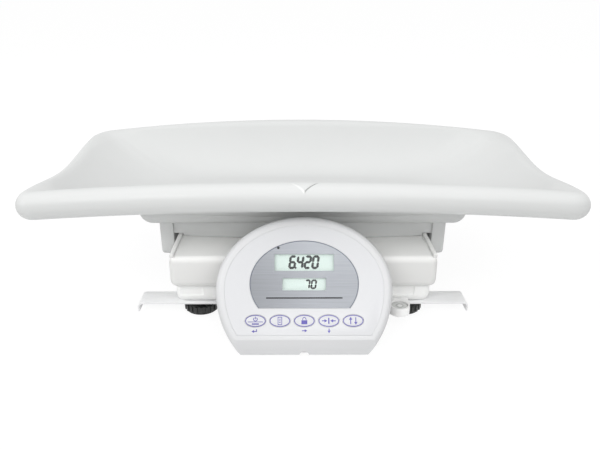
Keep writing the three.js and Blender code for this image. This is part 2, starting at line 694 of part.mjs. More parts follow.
const spacerGeometry = cut(
  box(-62, -28, -16, 16, CELL_BOTTOM - 4, CELL_BOTTOM - GAP),
  ...CELL_BOLT_X.map((x) => upright(3 + GAP, CELL_BOTTOM - 5, CELL_BOTTOM, x, 0, 12)),
);
place('cell_spacer', spacerGeometry, material(0xa4a7aa, 0.4, 0.9));

CELL_BOLT_X.forEach((x, i) => {
  const bolt = place(`cell_bolt_${i + 1}`, screwGeometry(3, 18, 5, 3.2), material(0x8e9194, 0.35, 0.9));
  bolt.position.set(x, 0, CHASSIS_BOTTOM + 4 - GAP);
  bolt.rotation.x = Math.PI;
});

// Electronics and batteries

const boardGeometry = join(
  box(-125, -88, 22, 76, 23, 24.6),
  box(-116, -104, 30, 42, 24, 26.4),
  box(-120, -110, 54, 70, 24, 30),
);
place('measuring_board', boardGeometry, material(0x2f6b45, 0.5));

const socketGeometry = cut(
  box(-97, -83, CHASSIS_HALF_WIDTH - 15, CHASSIS_HALF_WIDTH - 0.4, 21, 32),
  (() => {
    const bore = new THREE.CylinderGeometry(3.2, 3.2, 11, 16);
    bore.translate(-90, CHASSIS_HALF_WIDTH - 5, 26.5);
    return bore;
  })(),
);
place('power_socket', socketGeometry, material(0x1d1e1f, 0.5));

const holderHalfLength = BATTERY_LENGTH / 2 + 3.4;
const holderHalfWidth = (BATTERY_COUNT * BATTERY_PITCH) / 2 + 0.2;
const batteryZ = CHASSIS_BOTTOM + 1.2 + BATTERY_RADIUS;
const batteryY = (i) => BATTERY_BAY_Y + (i - (BATTERY_COUNT - 1) / 2) * BATTERY_PITCH;

function batteryHolderGeometry() {
  const channelRadius = BATTERY_RADIUS + 0.45;
  const shell = box(
    BATTERY_BAY_X - holderHalfLength, BATTERY_BAY_X + holderHalfLength,
    BATTERY_BAY_Y - holderHalfWidth, BATTERY_BAY_Y + holderHalfWidth,
    CHASSIS_BOTTOM + 1.6, batteryZ + BATTERY_RADIUS + 3,
  );
  const channels = Array.from({ length: BATTERY_COUNT }, (_, i) => {
    const y = batteryY(i);
    const reach = BATTERY_LENGTH / 2 + 1;
    const channel = new THREE.CylinderGeometry(channelRadius, channelRadius, 2 * reach, 10);
    channel.rotateZ(Math.PI / 2);
    channel.translate(BATTERY_BAY_X, y, batteryZ);
    const mouth = box(
      BATTERY_BAY_X - reach, BATTERY_BAY_X + reach,
      y - BATTERY_RADIUS - 0.1, y + BATTERY_RADIUS + 0.1, CHASSIS_BOTTOM, batteryZ,
    );
    return join(channel, mouth);
  });
  return cut(shell, ...channels);
}

place('battery_holder', batteryHolderGeometry(), material(0x262728, 0.6));

const batteryEnd = BATTERY_LENGTH / 2;
const batteryGeometry = turned([
  [0, -batteryEnd], [6.6, -batteryEnd], [BATTERY_RADIUS, -batteryEnd + 0.6], [BATTERY_RADIUS, batteryEnd - 2],
  [6.4, batteryEnd - 1.2], [2.8, batteryEnd - 1.2], [2.7, batteryEnd], [0, batteryEnd],
], 10);
for (let i = 0; i < BATTERY_COUNT; i += 1) {
  const cell = place(`battery_${i + 1}`, batteryGeometry, material(0x3d4a58, 0.4, 0.3));
  cell.position.set(BATTERY_BAY_X, batteryY(i), batteryZ);
  cell.rotation.y = i % 2 === 0 ? Math.PI / 2 : -Math.PI / 2;
}

function doorGeometry() {
  const z1 = CHASSIS_BOTTOM - GAP;
  const z0 = z1 - DOOR_SHEET;
  const plate = box(
    BATTERY_BAY_X - DOOR_LENGTH / 2, BATTERY_BAY_X + DOOR_LENGTH / 2,
    BATTERY_BAY_Y - DOOR_WIDTH / 2, BATTERY_BAY_Y + DOOR_WIDTH / 2, z0, z1,
  );
  const grips = [0, 1, 2, 3].map((i) => box(
    BATTERY_BAY_X - 12, BATTERY_BAY_X + 12, BATTERY_BAY_Y + 14 + i * 4, BATTERY_BAY_Y + 15.6 + i * 4,
    z0 - 1, z0 + 0.5,
  ));
  return join(plate, ...grips);
}

place('battery_door', doorGeometry(), material(0xd2d4d1, 0.45));

// Side brackets: sheet strips clamped under the chassis by the front feet, with their ends bent down

function bracketGeometry() {
  const top = CHASSIS_BOTTOM - GAP;
  const low = top - BRACKET_SHEET;
  const bendX = BRACKET_REACH - BRACKET_SHEET - BRACKET_BEND;
  const bendZ = low - BRACKET_BEND;
  const profile = new THREE.Shape();
  profile.moveTo(BRACKET_INNER, low);
  profile.lineTo(bendX, low);
  profile.absarc(bendX, bendZ, BRACKET_BEND, Math.PI / 2, 0, true);
  profile.lineTo(BRACKET_REACH - BRACKET_SHEET, top - BRACKET_DROP);
  profile.lineTo(BRACKET_REACH, top - BRACKET_DROP);
  profile.absarc(bendX, bendZ, BRACKET_BEND + BRACKET_SHEET, 0, Math.PI / 2);
  profile.lineTo(BRACKET_INNER, top);
  const strip = slab(profile, 0, BRACKET_WIDTH, 4);
  strip.rotateX(Math.PI / 2);
  strip.translate(0, -CHASSIS_HALF_WIDTH + BRACKET_WIDTH, 0);
  return cut(strip, upright(STEM_RADIUS + 1.2, low - PAST, top + PAST, FOOT_X, -FOOT_Y, 10));
}

const rightBracket = bracketGeometry();
const leftBracket = toGeometry(toSolid(rightBracket).mirror([1, 0, 0]));
place('side_bracket_right', rightBracket, material(0xe4e5e4, 0.35, 0.1));
place('side_bracket_left', leftBracket, material(0xe4e5e4, 0.35, 0.1));

// Levelling feet: knurled wheel with its threaded stem, on a rubber sole

function wheelGeometry() {
  const outline = [];
  for (let i = 0; i < WHEEL_TEETH * 2; i += 1) {
    const angle = (i / (WHEEL_TEETH * 2)) * 2 * Math.PI;
    const radius = i % 2 === 0 ? WHEEL_RADIUS : WHEEL_RADIUS - 1;
    outline.push(new THREE.Vector2(radius * Math.cos(angle), radius * Math.sin(angle)));
  }
  const base = SOLE_HEIGHT + GAP;
  const rim = slab(new THREE.Shape(outline), base, base + WHEEL_HEIGHT);
  const stem = upright(STEM_RADIUS, base + 1, STEM_TOP, 0, 0, 8);
  return join(rim, stem);
}

const wheelShape = wheelGeometry();
const soleGeometry = turned([
  [0, 0], [SOLE_RADIUS - 0.8, 0], [SOLE_RADIUS, 0.8], [SOLE_RADIUS, SOLE_HEIGHT], [0, SOLE_HEIGHT],
], 18);
corners.forEach(([corner, x, y]) => {
  const wheel = place(`foot_wheel_${corner}`, wheelShape, material(0x26292a, 0.55));
  wheel.position.set(x * FOOT_X, y * FOOT_Y, 0);
  const sole = place(`foot_sole_${corner}`, soleGeometry, material(0x1f2021, 0.9));
  sole.position.set(x * FOOT_X, y * FOOT_Y, 0);
});

// Spirit level: a U-shaped lug on the chassis front with a round vial let into it

function levelHolderGeometry() {
  const shape = new THREE.Shape();
  const back = -CHASSIS_HALF_WIDTH - GAP;
  shape.moveTo(LEVEL_X + LEVEL_RADIUS, back);
  shape.lineTo(LEVEL_X - LEVEL_RADIUS, back);
  shape.lineTo(LEVEL_X - LEVEL_RADIUS, LEVEL_Y);
  shape.absarc(LEVEL_X, LEVEL_Y, LEVEL_RADIUS, Math.PI, 2 * Math.PI);
  const lug = slab(shape, LEVEL_TOP - LEVEL_HEIGHT, LEVEL_TOP, 8);
  const peg = box(
    LEVEL_X - 5, LEVEL_X + 5, back - 1, -CHASSIS_HALF_WIDTH + 3, LEVEL_TOP - 6, LEVEL_TOP - 2,
  );
  const seat = upright(VIAL_RADIUS + GAP, LEVEL_TOP - 6, LEVEL_TOP + PAST, LEVEL_X, LEVEL_Y, 18);
  return cut(join(lug, peg), seat);
}

place('level_holder', levelHolderGeometry(), material(0xf0f0ef, 0.35));

const vialGeometry = turned([
  [0, 0], [VIAL_RADIUS, 0], [VIAL_RADIUS, 4.6], [VIAL_RADIUS - 1, 5.6], [VIAL_RADIUS * 0.5, 6.1], [0, 6.3],
], 18);
const vial = place('level_vial', vialGeometry, material(0xc7cbc9, 0.1));
vial.position.set(LEVEL_X, LEVEL_Y, LEVEL_TOP - 6 + GAP);

// Display head

const head = new THREE.Group();
head.position.set(0, HEAD_FRONT, HEAD_FACE_FOOT);
head.rotation.x = HEAD_TILT;
product.add(head);
head.updateMatrix();
const toHead = head.matrix.clone().invert();

// An arch that is widest at one height, with a flat foot
function archOutline(halfWidth, widest, rise, fall, foot, steps = 32) {
  const start = -Math.asin((widest - foot) / fall);
  const points = [];
  for (let i = 0; i <= steps; i += 1) {
    const angle = start + (i / steps) * (Math.PI - 2 * start);
    const height = Math.sin(angle) > 0 ? rise : fall;
    points.push(new THREE.Vector2(halfWidth * Math.cos(angle), widest + height * Math.sin(angle)));
  }
  return points;
}

const headOutline = archOutline(HEAD_HALF_WIDTH, HEAD_WIDEST, HEAD_RISE, HEAD_FALL, -30);
const panelOutline = archOutline(PANEL_HALF_WIDTH, PANEL_WIDEST, PANEL_RISE, PANEL_FALL, PANEL_FOOT, 28);

// The room behind the upright front wall and over the flat bottom, seen from the head's own frame
function headRoom(clearance) {
  const room = box(
    -200, 200, HEAD_FRONT + clearance, 0, HEAD_BOTTOM + clearance, 300,
  );
  room.applyMatrix4(toHead);
  return room;
}

// The arch above the front wall, where the film and the recess for it lie flat in the face
function faceOutline(outline, foot) {
  const area = common(
    slab(new THREE.Shape(outline), -1, 1),
    box(-200, 200, foot, 200, -1, 1),
  );
  const position = area.attributes.position;
  const top = [];
  for (let i = 0; i < position.count; i += 1) {
    if (position.getZ(i) > 0) {
      top.push(new THREE.Vector2(position.getX(i), position.getY(i)));
    }
  }
  const centre = new THREE.Vector2(0, HEAD_WIDEST);
  const turn = (point) => Math.atan2(point.y - centre.y, point.x - centre.x);
  return top.sort((a, b) => turn(a) - turn(b));
}

const overlayOutline = faceOutline(inset(headOutline, OVERLAY_INSET), 4.5);

const keyCentres = Array.from({ length: KEY_COUNT }, (_, i) => (i - (KEY_COUNT - 1) / 2) * KEY_PITCH);

// The sides of a display window with a margin around it
function window(lcd, margin) {
  const x = lcd.width / 2 + margin;
  const y = lcd.height / 2 + margin;
  return [-x, x, lcd.y - y, lcd.y + y];
}

function keyHoles(margin, z0, z1) {
  return keyCentres.map((x) => {
    const shape = oval(KEY_HALF_WIDTH + margin, KEY_HALF_HEIGHT + margin, x, KEY_Y);
    return slab(shape, z0, z1, 7);
  });
}

function frontShellGeometry() {
  const rounded = [ringAt(headOutline, HEAD_SEAM)];
  const steps = 3;
  for (let i = 0; i <= steps; i += 1) {
    const angle = (i / steps) * (Math.PI / 2);
    rounded.push(ringAt(
      inset(headOutline, BEZEL_ROUND * (1 - Math.cos(angle))),
      -BEZEL_ROUND * (1 - Math.sin(angle)),
    ));
  }
  const outer = common(loft(rounded), headRoom(0));
  const roomOutline = inset(headOutline, HEAD_WALL);
  const room = common(slab(new THREE.Shape(roomOutline), HEAD_SEAM - PAST, -3.6), headRoom(HEAD_WALL));
  const filmRecess = slab(new THREE.Shape(inset(overlayOutline, -GAP)), -1, PAST);
  const lensRecess = slab(new THREE.Shape(inset(panelOutline, 2)), -2.4, PAST);
  const windows = [UPPER_LCD, LOWER_LCD].map((lcd) => box(...window(lcd, 0.5), -5, PAST));
  const ledHole = upright(1.4, -5, PAST, LED_X, LED_Y, 10);
  const notch = new THREE.CylinderGeometry(NOTCH_RADIUS, NOTCH_RADIUS, HEAD_WALL + 2, 14);
  notch.translate(0, HEAD_FRONT + HEAD_WALL / 2, HEAD_BOTTOM - 1);
  notch.applyMatrix4(toHead);
  return cut(outer, room, filmRecess, lensRecess, ...windows, ledHole, notch, ...keyHoles(GAP, -5, PAST));
}

const shellWhite = material(0xe7e7e9, 0.3);
place('display_front_shell', frontShellGeometry(), shellWhite, head);

function rearShellGeometry() {
  const outerRings = [
    ringAt(inset(headOutline, 12), HEAD_BACK),
    ringAt(inset(headOutline, 7), HEAD_BACK + 1.4),
    ringAt(inset(headOutline, 3), HEAD_BACK + 5),
    ringAt(inset(headOutline, 0.4), HEAD_SEAM - 5),
    ringAt(headOutline, HEAD_SEAM - GAP),
  ];
  const outer = common(loft(outerRings), headRoom(0));
  const innerRings = [
    ringAt(inset(headOutline, 12), HEAD_BACK + HEAD_WALL),
    ringAt(inset(headOutline, 5.6), HEAD_BACK + 5.6),
    ringAt(inset(headOutline, HEAD_WALL + 0.4), HEAD_SEAM - 5),
    ringAt(inset(headOutline, HEAD_WALL), HEAD_SEAM + PAST),
  ];
  const room = common(loft(innerRings), headRoom(HEAD_WALL));
  const bosses = [-1, 1].map((side) => upright(5, HEAD_BACK + 1, HEAD_SEAM - GAP, side * 58, 92, 10));
  const holes = [-1, 1].flatMap((side) => [
    upright(2, HEAD_BACK - PAST, HEAD_SEAM + PAST, side * 58, 92, 8),
    upright(3.6, HEAD_BACK - PAST, HEAD_BACK + 2.4, side * 58, 92, 10),
  ]);
  const vents = [84, 89, 94, 99, 104].map((y) => box(-22, 22, y, y + 2, HEAD_BACK - PAST, HEAD_BACK + 4));
  return cut(join(cut(outer, room), ...bosses), ...holes, ...vents);
}

place('display_rear_shell', rearShellGeometry(), shellWhite, head);

[-1, 1].forEach((side) => {
  const name = side < 0 ? 'shell_screw_left' : 'shell_screw_right';
  const screw = place(name, screwGeometry(1.6, 13, 3, 1.8), material(0x8e9194, 0.35, 0.9), head);
  screw.position.set(side * 58, 92, HEAD_BACK + 2.4 - GAP);
  screw.rotation.x = Math.PI;
});

const overlayGeometry = cut(
  slab(new THREE.Shape(overlayOutline), -0.7, -0.2),
  slab(new THREE.Shape(inset(panelOutline, -GAP)), -2, 1),
  ...keyHoles(GAP, -2, 1),
);
place('keypad_overlay', overlayGeometry, material(0xe9e9ec, 0.35), head);

const panelGeometry = cut(
  slab(new THREE.Shape(panelOutline), -0.7, -0.25),
  ...[UPPER_LCD, LOWER_LCD].map((lcd) => box(...window(lcd, 0), -2, 1)),
  upright(1.4, -2, 1, LED_X, LED_Y, 10),
);
place('silver_panel', panelGeometry, material(0xb4b8bb, 0.35, 0.8), head);

const lensGeometry = cut(
  slab(new THREE.Shape(inset(panelOutline, 2 + GAP)), -2.1, -1),
  upright(1.4, -4, 1, LED_X, LED_Y, 10),
);
place('display_window', lensGeometry, material(0xf4f8f7, 0.05), head);

[['lcd_upper', UPPER_LCD], ['lcd_lower', LOWER_LCD]].forEach(([name, lcd]) => {
  const [x0, x1, y0, y1] = window(lcd, 1.4);
  place(name, box(x0, x1, y0, y1, -7, -3.9), material(0xdcebe8, 0.25), head);
});

const ledGeometry = turned([[0, -5.6], [1.1, -5.6], [1.1, -1.1], [0.8, -0.6], [0, -0.4]], 10);
place('indicator_led', ledGeometry, material(0x1c1d1e, 0.3), head).position.set(LED_X, LED_Y, 0);

const switchTop = -9;
const boardOutline = inset(overlayOutline, 4);
const displayBoard = join(
  slab(new THREE.Shape(boardOutline), -12, -10.4),
  ...keyCentres.map((x) => box(x - 3, x + 3, KEY_Y - 3, KEY_Y + 3, -11, switchTop)),
);
place('display_board', displayBoard, material(0x2f6b45, 0.5), head);

// Keys: oval caps flush in the film, a flange behind the shell, a plunger over the switch

const keyGeometry = join(
  slab(oval(KEY_HALF_WIDTH, KEY_HALF_HEIGHT), -5, 0.1, 7),
  slab(oval(KEY_HALF_WIDTH + 1, KEY_HALF_HEIGHT + 1), -5.4, -3.9, 5),
  upright(2, switchTop + KEY_TRAVEL + 0.2, -5, 0, 0, 6),
);
keyCentres.forEach((x, i) => {
  place(`key_${i + 1}`, keyGeometry, material(0xe9e9ec, 0.35), head).position.set(x, KEY_Y, 0);
});

// Display bracket: a bent plate from the chassis front to the back of the head

function bracketArmGeometry() {
  const backFoot = new THREE.Vector3(0, 20, HEAD_BACK - GAP).applyMatrix4(head.matrix);
  const backTop = new THREE.Vector3(0, 62, HEAD_BACK - GAP).applyMatrix4(head.matrix);
  const sheet = 3;
  const back = new THREE.Vector2(Math.sin(HEAD_TILT), -Math.cos(HEAD_TILT)).multiplyScalar(sheet);
  const armTop = backFoot.z;
  const profile = new THREE.Shape();
  profile.moveTo(backFoot.y, armTop);
  profile.lineTo(backTop.y, backTop.z);
  profile.lineTo(backTop.y + back.x, backTop.z + back.y);
  profile.lineTo(backFoot.y + 4, armTop + 1.5);
  profile.lineTo(-CHASSIS_HALF_WIDTH - GAP, armTop + 1.5);
  profile.lineTo(-CHASSIS_HALF_WIDTH - GAP, armTop - 1.5);
  profile.lineTo(backFoot.y, armTop - 1.5);
  const arm = slab(profile, -45, 45);
  arm.rotateX(Math.PI / 2);
  arm.rotateZ(Math.PI / 2);
  return arm;
}

place('display_bracket', bracketArmGeometry(), material(0xc9cbca, 0.45, 0.3));

// The origin is on the table under the middle of the whole scale
product.position.y = -(HEAD_FRONT + TRAY_HALF_WIDTH) / 2;

export default product;
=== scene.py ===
"""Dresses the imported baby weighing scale: tray, carrier, platform, chassis on its feet, and display head.

Pieces are modelled in millimetres and put in their place in metres by BASE or HEAD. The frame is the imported
model's own: +Z up, +X to the right of someone who faces the display, -Y towards that person.
"""

import json
import math

import bmesh
import bpy
from mathutils import Euler, Matrix, Vector


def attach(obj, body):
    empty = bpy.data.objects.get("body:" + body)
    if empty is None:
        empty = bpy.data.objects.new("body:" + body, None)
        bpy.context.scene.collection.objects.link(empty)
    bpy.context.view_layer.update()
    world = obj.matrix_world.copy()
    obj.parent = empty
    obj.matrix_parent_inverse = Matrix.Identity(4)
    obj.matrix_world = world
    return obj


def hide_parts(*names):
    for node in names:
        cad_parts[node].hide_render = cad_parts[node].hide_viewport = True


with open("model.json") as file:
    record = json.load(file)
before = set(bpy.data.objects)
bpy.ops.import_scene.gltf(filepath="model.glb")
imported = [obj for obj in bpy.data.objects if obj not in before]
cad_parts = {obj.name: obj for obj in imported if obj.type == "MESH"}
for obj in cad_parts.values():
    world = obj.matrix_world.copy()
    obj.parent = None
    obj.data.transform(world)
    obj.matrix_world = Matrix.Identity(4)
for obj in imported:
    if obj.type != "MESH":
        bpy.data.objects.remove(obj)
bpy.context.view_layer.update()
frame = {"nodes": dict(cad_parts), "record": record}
nodes = frame["nodes"]

# The base's own middle is 16 mm behind the middle of the whole scale
BASE = Matrix.Translation((0, 0.016, 0)) @ Matrix.Scale(0.001, 4)
# The display head leans back: its own frame has X across, Y up along the face and Z out of the face
HEAD_FRONT = -178
HEAD_HEIGHT = 20.5
HEAD_TILT = math.radians(60)
HEAD = (
    Matrix.Translation((0, HEAD_FRONT / 1000, HEAD_HEIGHT / 1000))
    @ Matrix.Rotation(HEAD_TILT, 4, "X")
    @ Matrix.Scale(0.001, 4)
)
CORNERS = [("front_left", -1, -1), ("front_right", 1, -1), ("rear_right", 1, 1), ("rear_left", -1, 1)]

# Tray
TRAY_HALF_LENGTH = 300
TRAY_HALF_WIDTH = 162
TRAY_SIDE_BOW = 14
TRAY_END_BOW = 2
TRAY_CORNER = 30
TRAY_WALL = 3
RIM_TOP = 172
RIM_SIDE_DROP = 16
RIM_END_DIP = 12
RIM_ROLL = 15
RIM_TURN = math.radians(155)
RIM_CORNER_EASE = 24
TROUGH_FLOOR = 111
TROUGH_LENGTH_SHARE = 0.6
TROUGH_WIDTH_SHARE = 0.4
TROUGH_SQUARENESS = 2.4
WALL_STEPS = 18
# The V-shaped ridge on the front rim, in metres in the frame of the whole scale; lit and shaded are the
# colours of the painted highlight and painted shade on its arms
MARK = {
    "y": (-0.1429, -0.1324), "half_width": 0.0136, "arm_widths": (0.0026, 0.0014), "fade": (0.010, 0.0145),
    "crest": (0.148, 0.152), "lit": (0.85, 0.86, 0.85), "shaded": (0.24, 0.25, 0.24),
}

# Tray carrier
FLANGE = {"x": (-189, 189), "y": (-76, 76), "z": (96, 132)}
FLANGE_CORNER = 16
FLANGE_WALL = 8.5
FLANGE_FLOOR = 3
WEB = {"half_length": 154, "half_width": 50, "bow": 9, "z": (75.5, 97)}
WEB_WALL = 3
CHEEK = {"x": (153, 168.5), "y": (-55, 55), "z": (51, 97)}
CHEEK_FOOT = 52
RIB_TOP = 107.6
POST = (100, 34)
POST_FOOT = 78.5

# Platform cover and chassis
BASE_WALL = 2.6
COVER = {"x": (-149, 149), "y": (-115, 115), "z": (38, 75)}
COVER_CORNER = 8
COVER_RIB_TOP = 78
BUFFER = (108, 78)
CHASSIS = {"x": (-144.5, 144.5), "y": (-108, 108), "z": (16.3, 46)}
CHASSIS_CORNER = 9
CHASSIS_FLOOR = 3
CHASSIS_RIB = (18.3, 28.3)
CELL_BOLTS = (-52, -36)
DOOR_TRACK = {"middle": 53, "half": 34.3, "y": (24, 92), "bottom": 11.7}
FRONT_RECESSES = ((-140, -113), (102, 126))

# Side strips, levelling feet and spirit level
STRIP = {"x": (96, 184), "y": (-108, -80), "z": (14, 16)}
STRIP_BEND = 3
STRIP_DROP = 6
FOOT = (118, 90)
WHEEL = {"grips": 20, "grip_radius": 20.4, "groove_radius": 18.8, "z": (2.5, 10)}
STEM = {"radius": 4, "root": 3.4, "bottom": 9, "threads": 6, "pitch": 1.25, "plain": 17.5}
SOLE_RADIUS = 18
SOLE_TOP = 2.2
LEVEL = (107, -125)
LUG_RADIUS = 11.4
LUG_Z = (13.2, 23)
VIAL_FOOT = 17.3
LIQUID_TOP = 21.4

# Display head
SHELL = {"half_width": 91, "widest": 52, "rise": 74.5, "fall": 96}
PANEL = {"half_width": 55.8, "widest": 57, "rise": 44, "fall": 46, "foot": 31.8}
FILM_INSET = 9.5
FILM_FOOT = 4.5
FILM_Z = (-0.7, -0.2)
FACE_BACK = -3.6
SEAM = -13
BACK = -30
BOTTOM_DEPTH = -35
HEAD_WALL = 2.4
SHELL_SCREW = (58, 92)
LED = (-26.7, 93.6)
# Each display's half length, half height and middle along the face
LCDS = {"upper": (30.5, 8.6, 78.4), "lower": (22.25, 6.3, 56.2)}
LCD_Z = (-7, -3.9)
NUMERALS = {
    "upper": {
        "text": "6.420", "left": -15.4, "bottom": 73.1, "width": 5.2, "height": 11.8, "pitch": 7.9,
        "bar": 2.5,
    },
    "lower": {
        "text": "70", "left": 0.5, "bottom": 52.2, "width": 4.3, "height": 8.1, "pitch": 6.6, "bar": 1.95,
    },
}
NUMERAL_Z = -3.87
NUMERAL_DEPTH = 0.05
NUMERAL_LEAN = 0.14
KEY_X = [-49.6, -24.8, 0, 24.8, 49.6]
KEY_Y = 19.1
KEY_HALF = (10.6, 6.2)
KEY_FLANGE_HALF = (11.6, 7.2)
KEY_FOOT = -5
KEY_TOP = 0.1
PRINT_DEPTH = 0.04
PANEL_PRINT = (-0.25, -0.2)

# Camera at the photograph's place, with its angles in degrees
CAMERA = {"place": (-0.00978, -0.71694, 0.3591), "down": 21.63, "turn": -0.53, "roll": 0.17, "lens": 37.2}


# Making and shaping pieces

PRIMITIVES = {
    "cube": bpy.ops.mesh.primitive_cube_add,
    "cylinder": bpy.ops.mesh.primitive_cylinder_add,
    "circle": bpy.ops.mesh.primitive_circle_add,
    "grid": bpy.ops.mesh.primitive_grid_add,
    "sphere": bpy.ops.mesh.primitive_uv_sphere_add,
    "plane": bpy.ops.mesh.primitive_plane_add,
}


def alone(piece):
    bpy.ops.object.select_all(action="DESELECT")
    piece.select_set(True)
    bpy.context.view_layer.objects.active = piece


def add(kind, name, **options):
    """A primitive of that kind, with its place in its mesh."""
    bpy.ops.object.select_all(action="DESELECT")
    PRIMITIVES[kind](**options)
    piece = bpy.context.object
    piece.name = name
    piece.data.name = name
    bpy.ops.object.transform_apply(location=True, rotation=True, scale=True)
    return piece


def block(name, x, y, z):
    """A box from the low and high side along each axis."""
    sides = (x, y, z)
    return add(
        "cube", name, size=1,
        location=[(low + high) / 2 for low, high in sides],
        scale=[high - low for low, high in sides],
    )


def disc(name, radius, z0, z1, x=0, y=0, sides=64):
    """A round block from z0 up to z1."""
    return add("cylinder", name, vertices=sides, radius=radius, depth=z1 - z0, location=(x, y, (z0 + z1) / 2))


def oval(name, half_x, half_y, z0, z1, x=0, y=0, sides=64):
    """An oval block from z0 up to z1."""
    return add(
        "cylinder", name, vertices=sides, radius=1, depth=z1 - z0,
        location=(x, y, (z0 + z1) / 2), scale=(half_x, half_y, 1),
    )


def edit(piece, mode="EDGE"):
    alone(piece)
    bpy.ops.object.mode_set(mode="EDIT")
    bpy.ops.mesh.select_mode(type=mode)
    bpy.ops.mesh.select_all(action="DESELECT")


def done():
    bpy.ops.object.mode_set(mode="OBJECT")


def pick(piece, kind, test, enclosed=True):
    """In edit mode, selects the verts, edges or faces that pass the test, and the faces they enclose."""
    bpy.ops.mesh.select_all(action="DESELECT")
    mesh = bmesh.from_edit_mesh(piece.data)
    for item in getattr(mesh, kind):
        if test(item):
            item.select_set(True)
    if enclosed:
        mesh.select_flush(True)
    bmesh.update_edit_mesh(piece.data)


def resize(x, y, z=1, about=(0, 0, 0)):
    bpy.ops.transform.resize(value=(x, y, z), center_override=about)


def extrude(height):
    """Extrudes the selected faces along Z."""
    bpy.ops.mesh.extrude_region_move(TRANSFORM_OT_translate={"value": (0, 0, height)})


def close_up():
    """Merges points that lie on each other."""
    bpy.ops.mesh.select_all(action="SELECT")
    bpy.ops.mesh.remove_doubles(threshold=0.001)


def middle(item):
    return sum((v.co for v in item.verts), Vector()) / len(item.verts)


def upright(edge):
    a, b = edge.verts
    return math.hypot(a.co.x - b.co.x, a.co.y - b.co.y) < 0.001


def runs_along(axis, edge):
    """Whether an edge runs along X, axis 0, or Y, axis 1."""
    a, b = edge.verts
    return abs(a.co[axis] - b.co[axis]) > 1


def level(z):
    """A test for edges or faces that lie at one height."""
    return lambda item: all(abs(v.co.z - z) < 0.001 for v in item.verts)


def inside(span, wall):
    """A span that is shorter by the wall at both ends."""
    return span[0] + wall, span[1] - wall


def bevel(piece, width, steps, test):
    edit(piece)
    pick(piece, "edges", test)
    bpy.ops.mesh.bevel(offset=width, segments=steps, affect="EDGES", clamp_overlap=True)
    done()


def change(piece, kind, **values):
    """Adds one modifier and applies it."""
    alone(piece)
    modifier = piece.modifiers.new(kind.title(), kind)
    for key, value in values.items():
        setattr(modifier, key, value)
    bpy.ops.object.modifier_apply(modifier=modifier.name)
    return piece


def soften(piece, width, steps, angle=40):
    """A small round on every sharp edge."""
    limit = math.radians(angle)
    return change(piece, "BEVEL", width=width, segments=steps, limit_method="ANGLE", angle_limit=limit)


def combine(piece, operation, others):
    """Joins others to a piece or cuts them out of it, and removes them."""
    for other in others:
        change(piece, "BOOLEAN", operation=operation, object=other, solver="EXACT")
        bpy.data.objects.remove(other)
    return piece


def cut(piece, *tools):
    return combine(piece, "DIFFERENCE", tools)


def weld(piece, *others):
    return combine(piece, "UNION", others)


def merge(name, pieces):
    """Several meshes as one piece."""
    alone(pieces[0])
    for piece in pieces:
        piece.select_set(True)
    bpy.ops.object.join()
    pieces[0].name = name
    pieces[0].data.name = name
    return pieces[0]


def turn_out(piece):
    edit(piece, "FACE")
    bpy.ops.mesh.select_all(action="SELECT")
    bpy.ops.mesh.normals_make_consistent(inside=False)
    done()
    return piece


def twin(piece, name, matrix):
    """A copy with its own mesh, moved by the matrix; a mirrored copy gets its faces turned out again."""
    copy = piece.copy()
    copy.data = piece.data.copy()
    copy.name = name
    copy.data.name = name
    bpy.context.scene.collection.objects.link(copy)
    copy.data.transform(matrix)
    return turn_out(copy) if matrix.determinant() < 0 else copy


def slice_off(piece, point, normal):
    """Cuts away what lies on the normal's side of a plane and closes the cut."""
    edit(piece, "FACE")
    bpy.ops.mesh.select_all(action="SELECT")
    bpy.ops.mesh.bisect(plane_co=point, plane_no=normal, use_fill=True, clear_outer=True)
    done()
    return piece


def rounded_block(name, x, y, z, corner, top=0, bottom=0):
    """A block with round corners, and with its top or bottom edge rounded."""
    piece = block(name, x, y, z)
    bevel(piece, corner, 8, upright)
    for height, width in ((z[1], top), (z[0], bottom)):
        if width:
            bevel(piece, width, 8, level(height))
    return piece


def seat(piece, where, slot, body, *replaced, smooth=35):
    """Puts a finished piece in its place in metres, with its finish and the body it moves with."""
    piece.data.transform(where)
    alone(piece)
    bpy.ops.object.shade_smooth_by_angle(angle=math.radians(smooth))
    piece.data.materials.clear()
    piece.data.materials.append(finishes[slot])
    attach(piece, body)
    if replaced:
        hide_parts(*replaced)
    return piece


# Effects that the finishes share

NUMBER = "NodeSocketFloat"
COLOR = "NodeSocketColor"


def put(tree, kind, inputs=(), **settings):
    """A node with its settings; each input is a value or another node's output."""
    made = tree.nodes.new(kind)
    for key, value in settings.items():
        setattr(made, key, value)
    for key, value in dict(inputs).items():
        if isinstance(value, bpy.types.NodeSocket):
            tree.links.new(value, made.inputs[key])
        else:
            made.inputs[key].default_value = value
    return made


def send(tree, results, inputs):
    """Links each result to the input of its name."""
    for key, value in results.items():
        tree.links.new(value, inputs[key])


def calc(tree, operation, *values, **settings):
    return put(tree, "ShaderNodeMath", enumerate(values), operation=operation, **settings).outputs[0]


def ramp(tree, value, given, wanted=(0, 1), **settings):
    """A value that runs through the given range, brought to the wanted one."""
    ends = {"From Min": given[0], "From Max": given[1], "To Min": wanted[0], "To Max": wanted[1]}
    return put(tree, "ShaderNodeMapRange", {"Value": value, **ends}, **settings).outputs[0]


def noise(tree, place, scale, detail, roughness=0.5):
    inputs = {"Vector": place, "Scale": scale, "Detail": detail, "Roughness": roughness}
    return put(tree, "ShaderNodeTexNoise", inputs).outputs[0]


def own_place(tree):
    """Where a point is, in metres in the frame of the whole scale."""
    return put(tree, "ShaderNodeTexCoord").outputs["Object"]


def axes(tree, vector):
    return put(tree, "ShaderNodeSeparateXYZ", {0: vector}).outputs


def grey(tree, value):
    return put(tree, "ShaderNodeCombineColor", {0: value, 1: value, 2: value}).outputs[0]


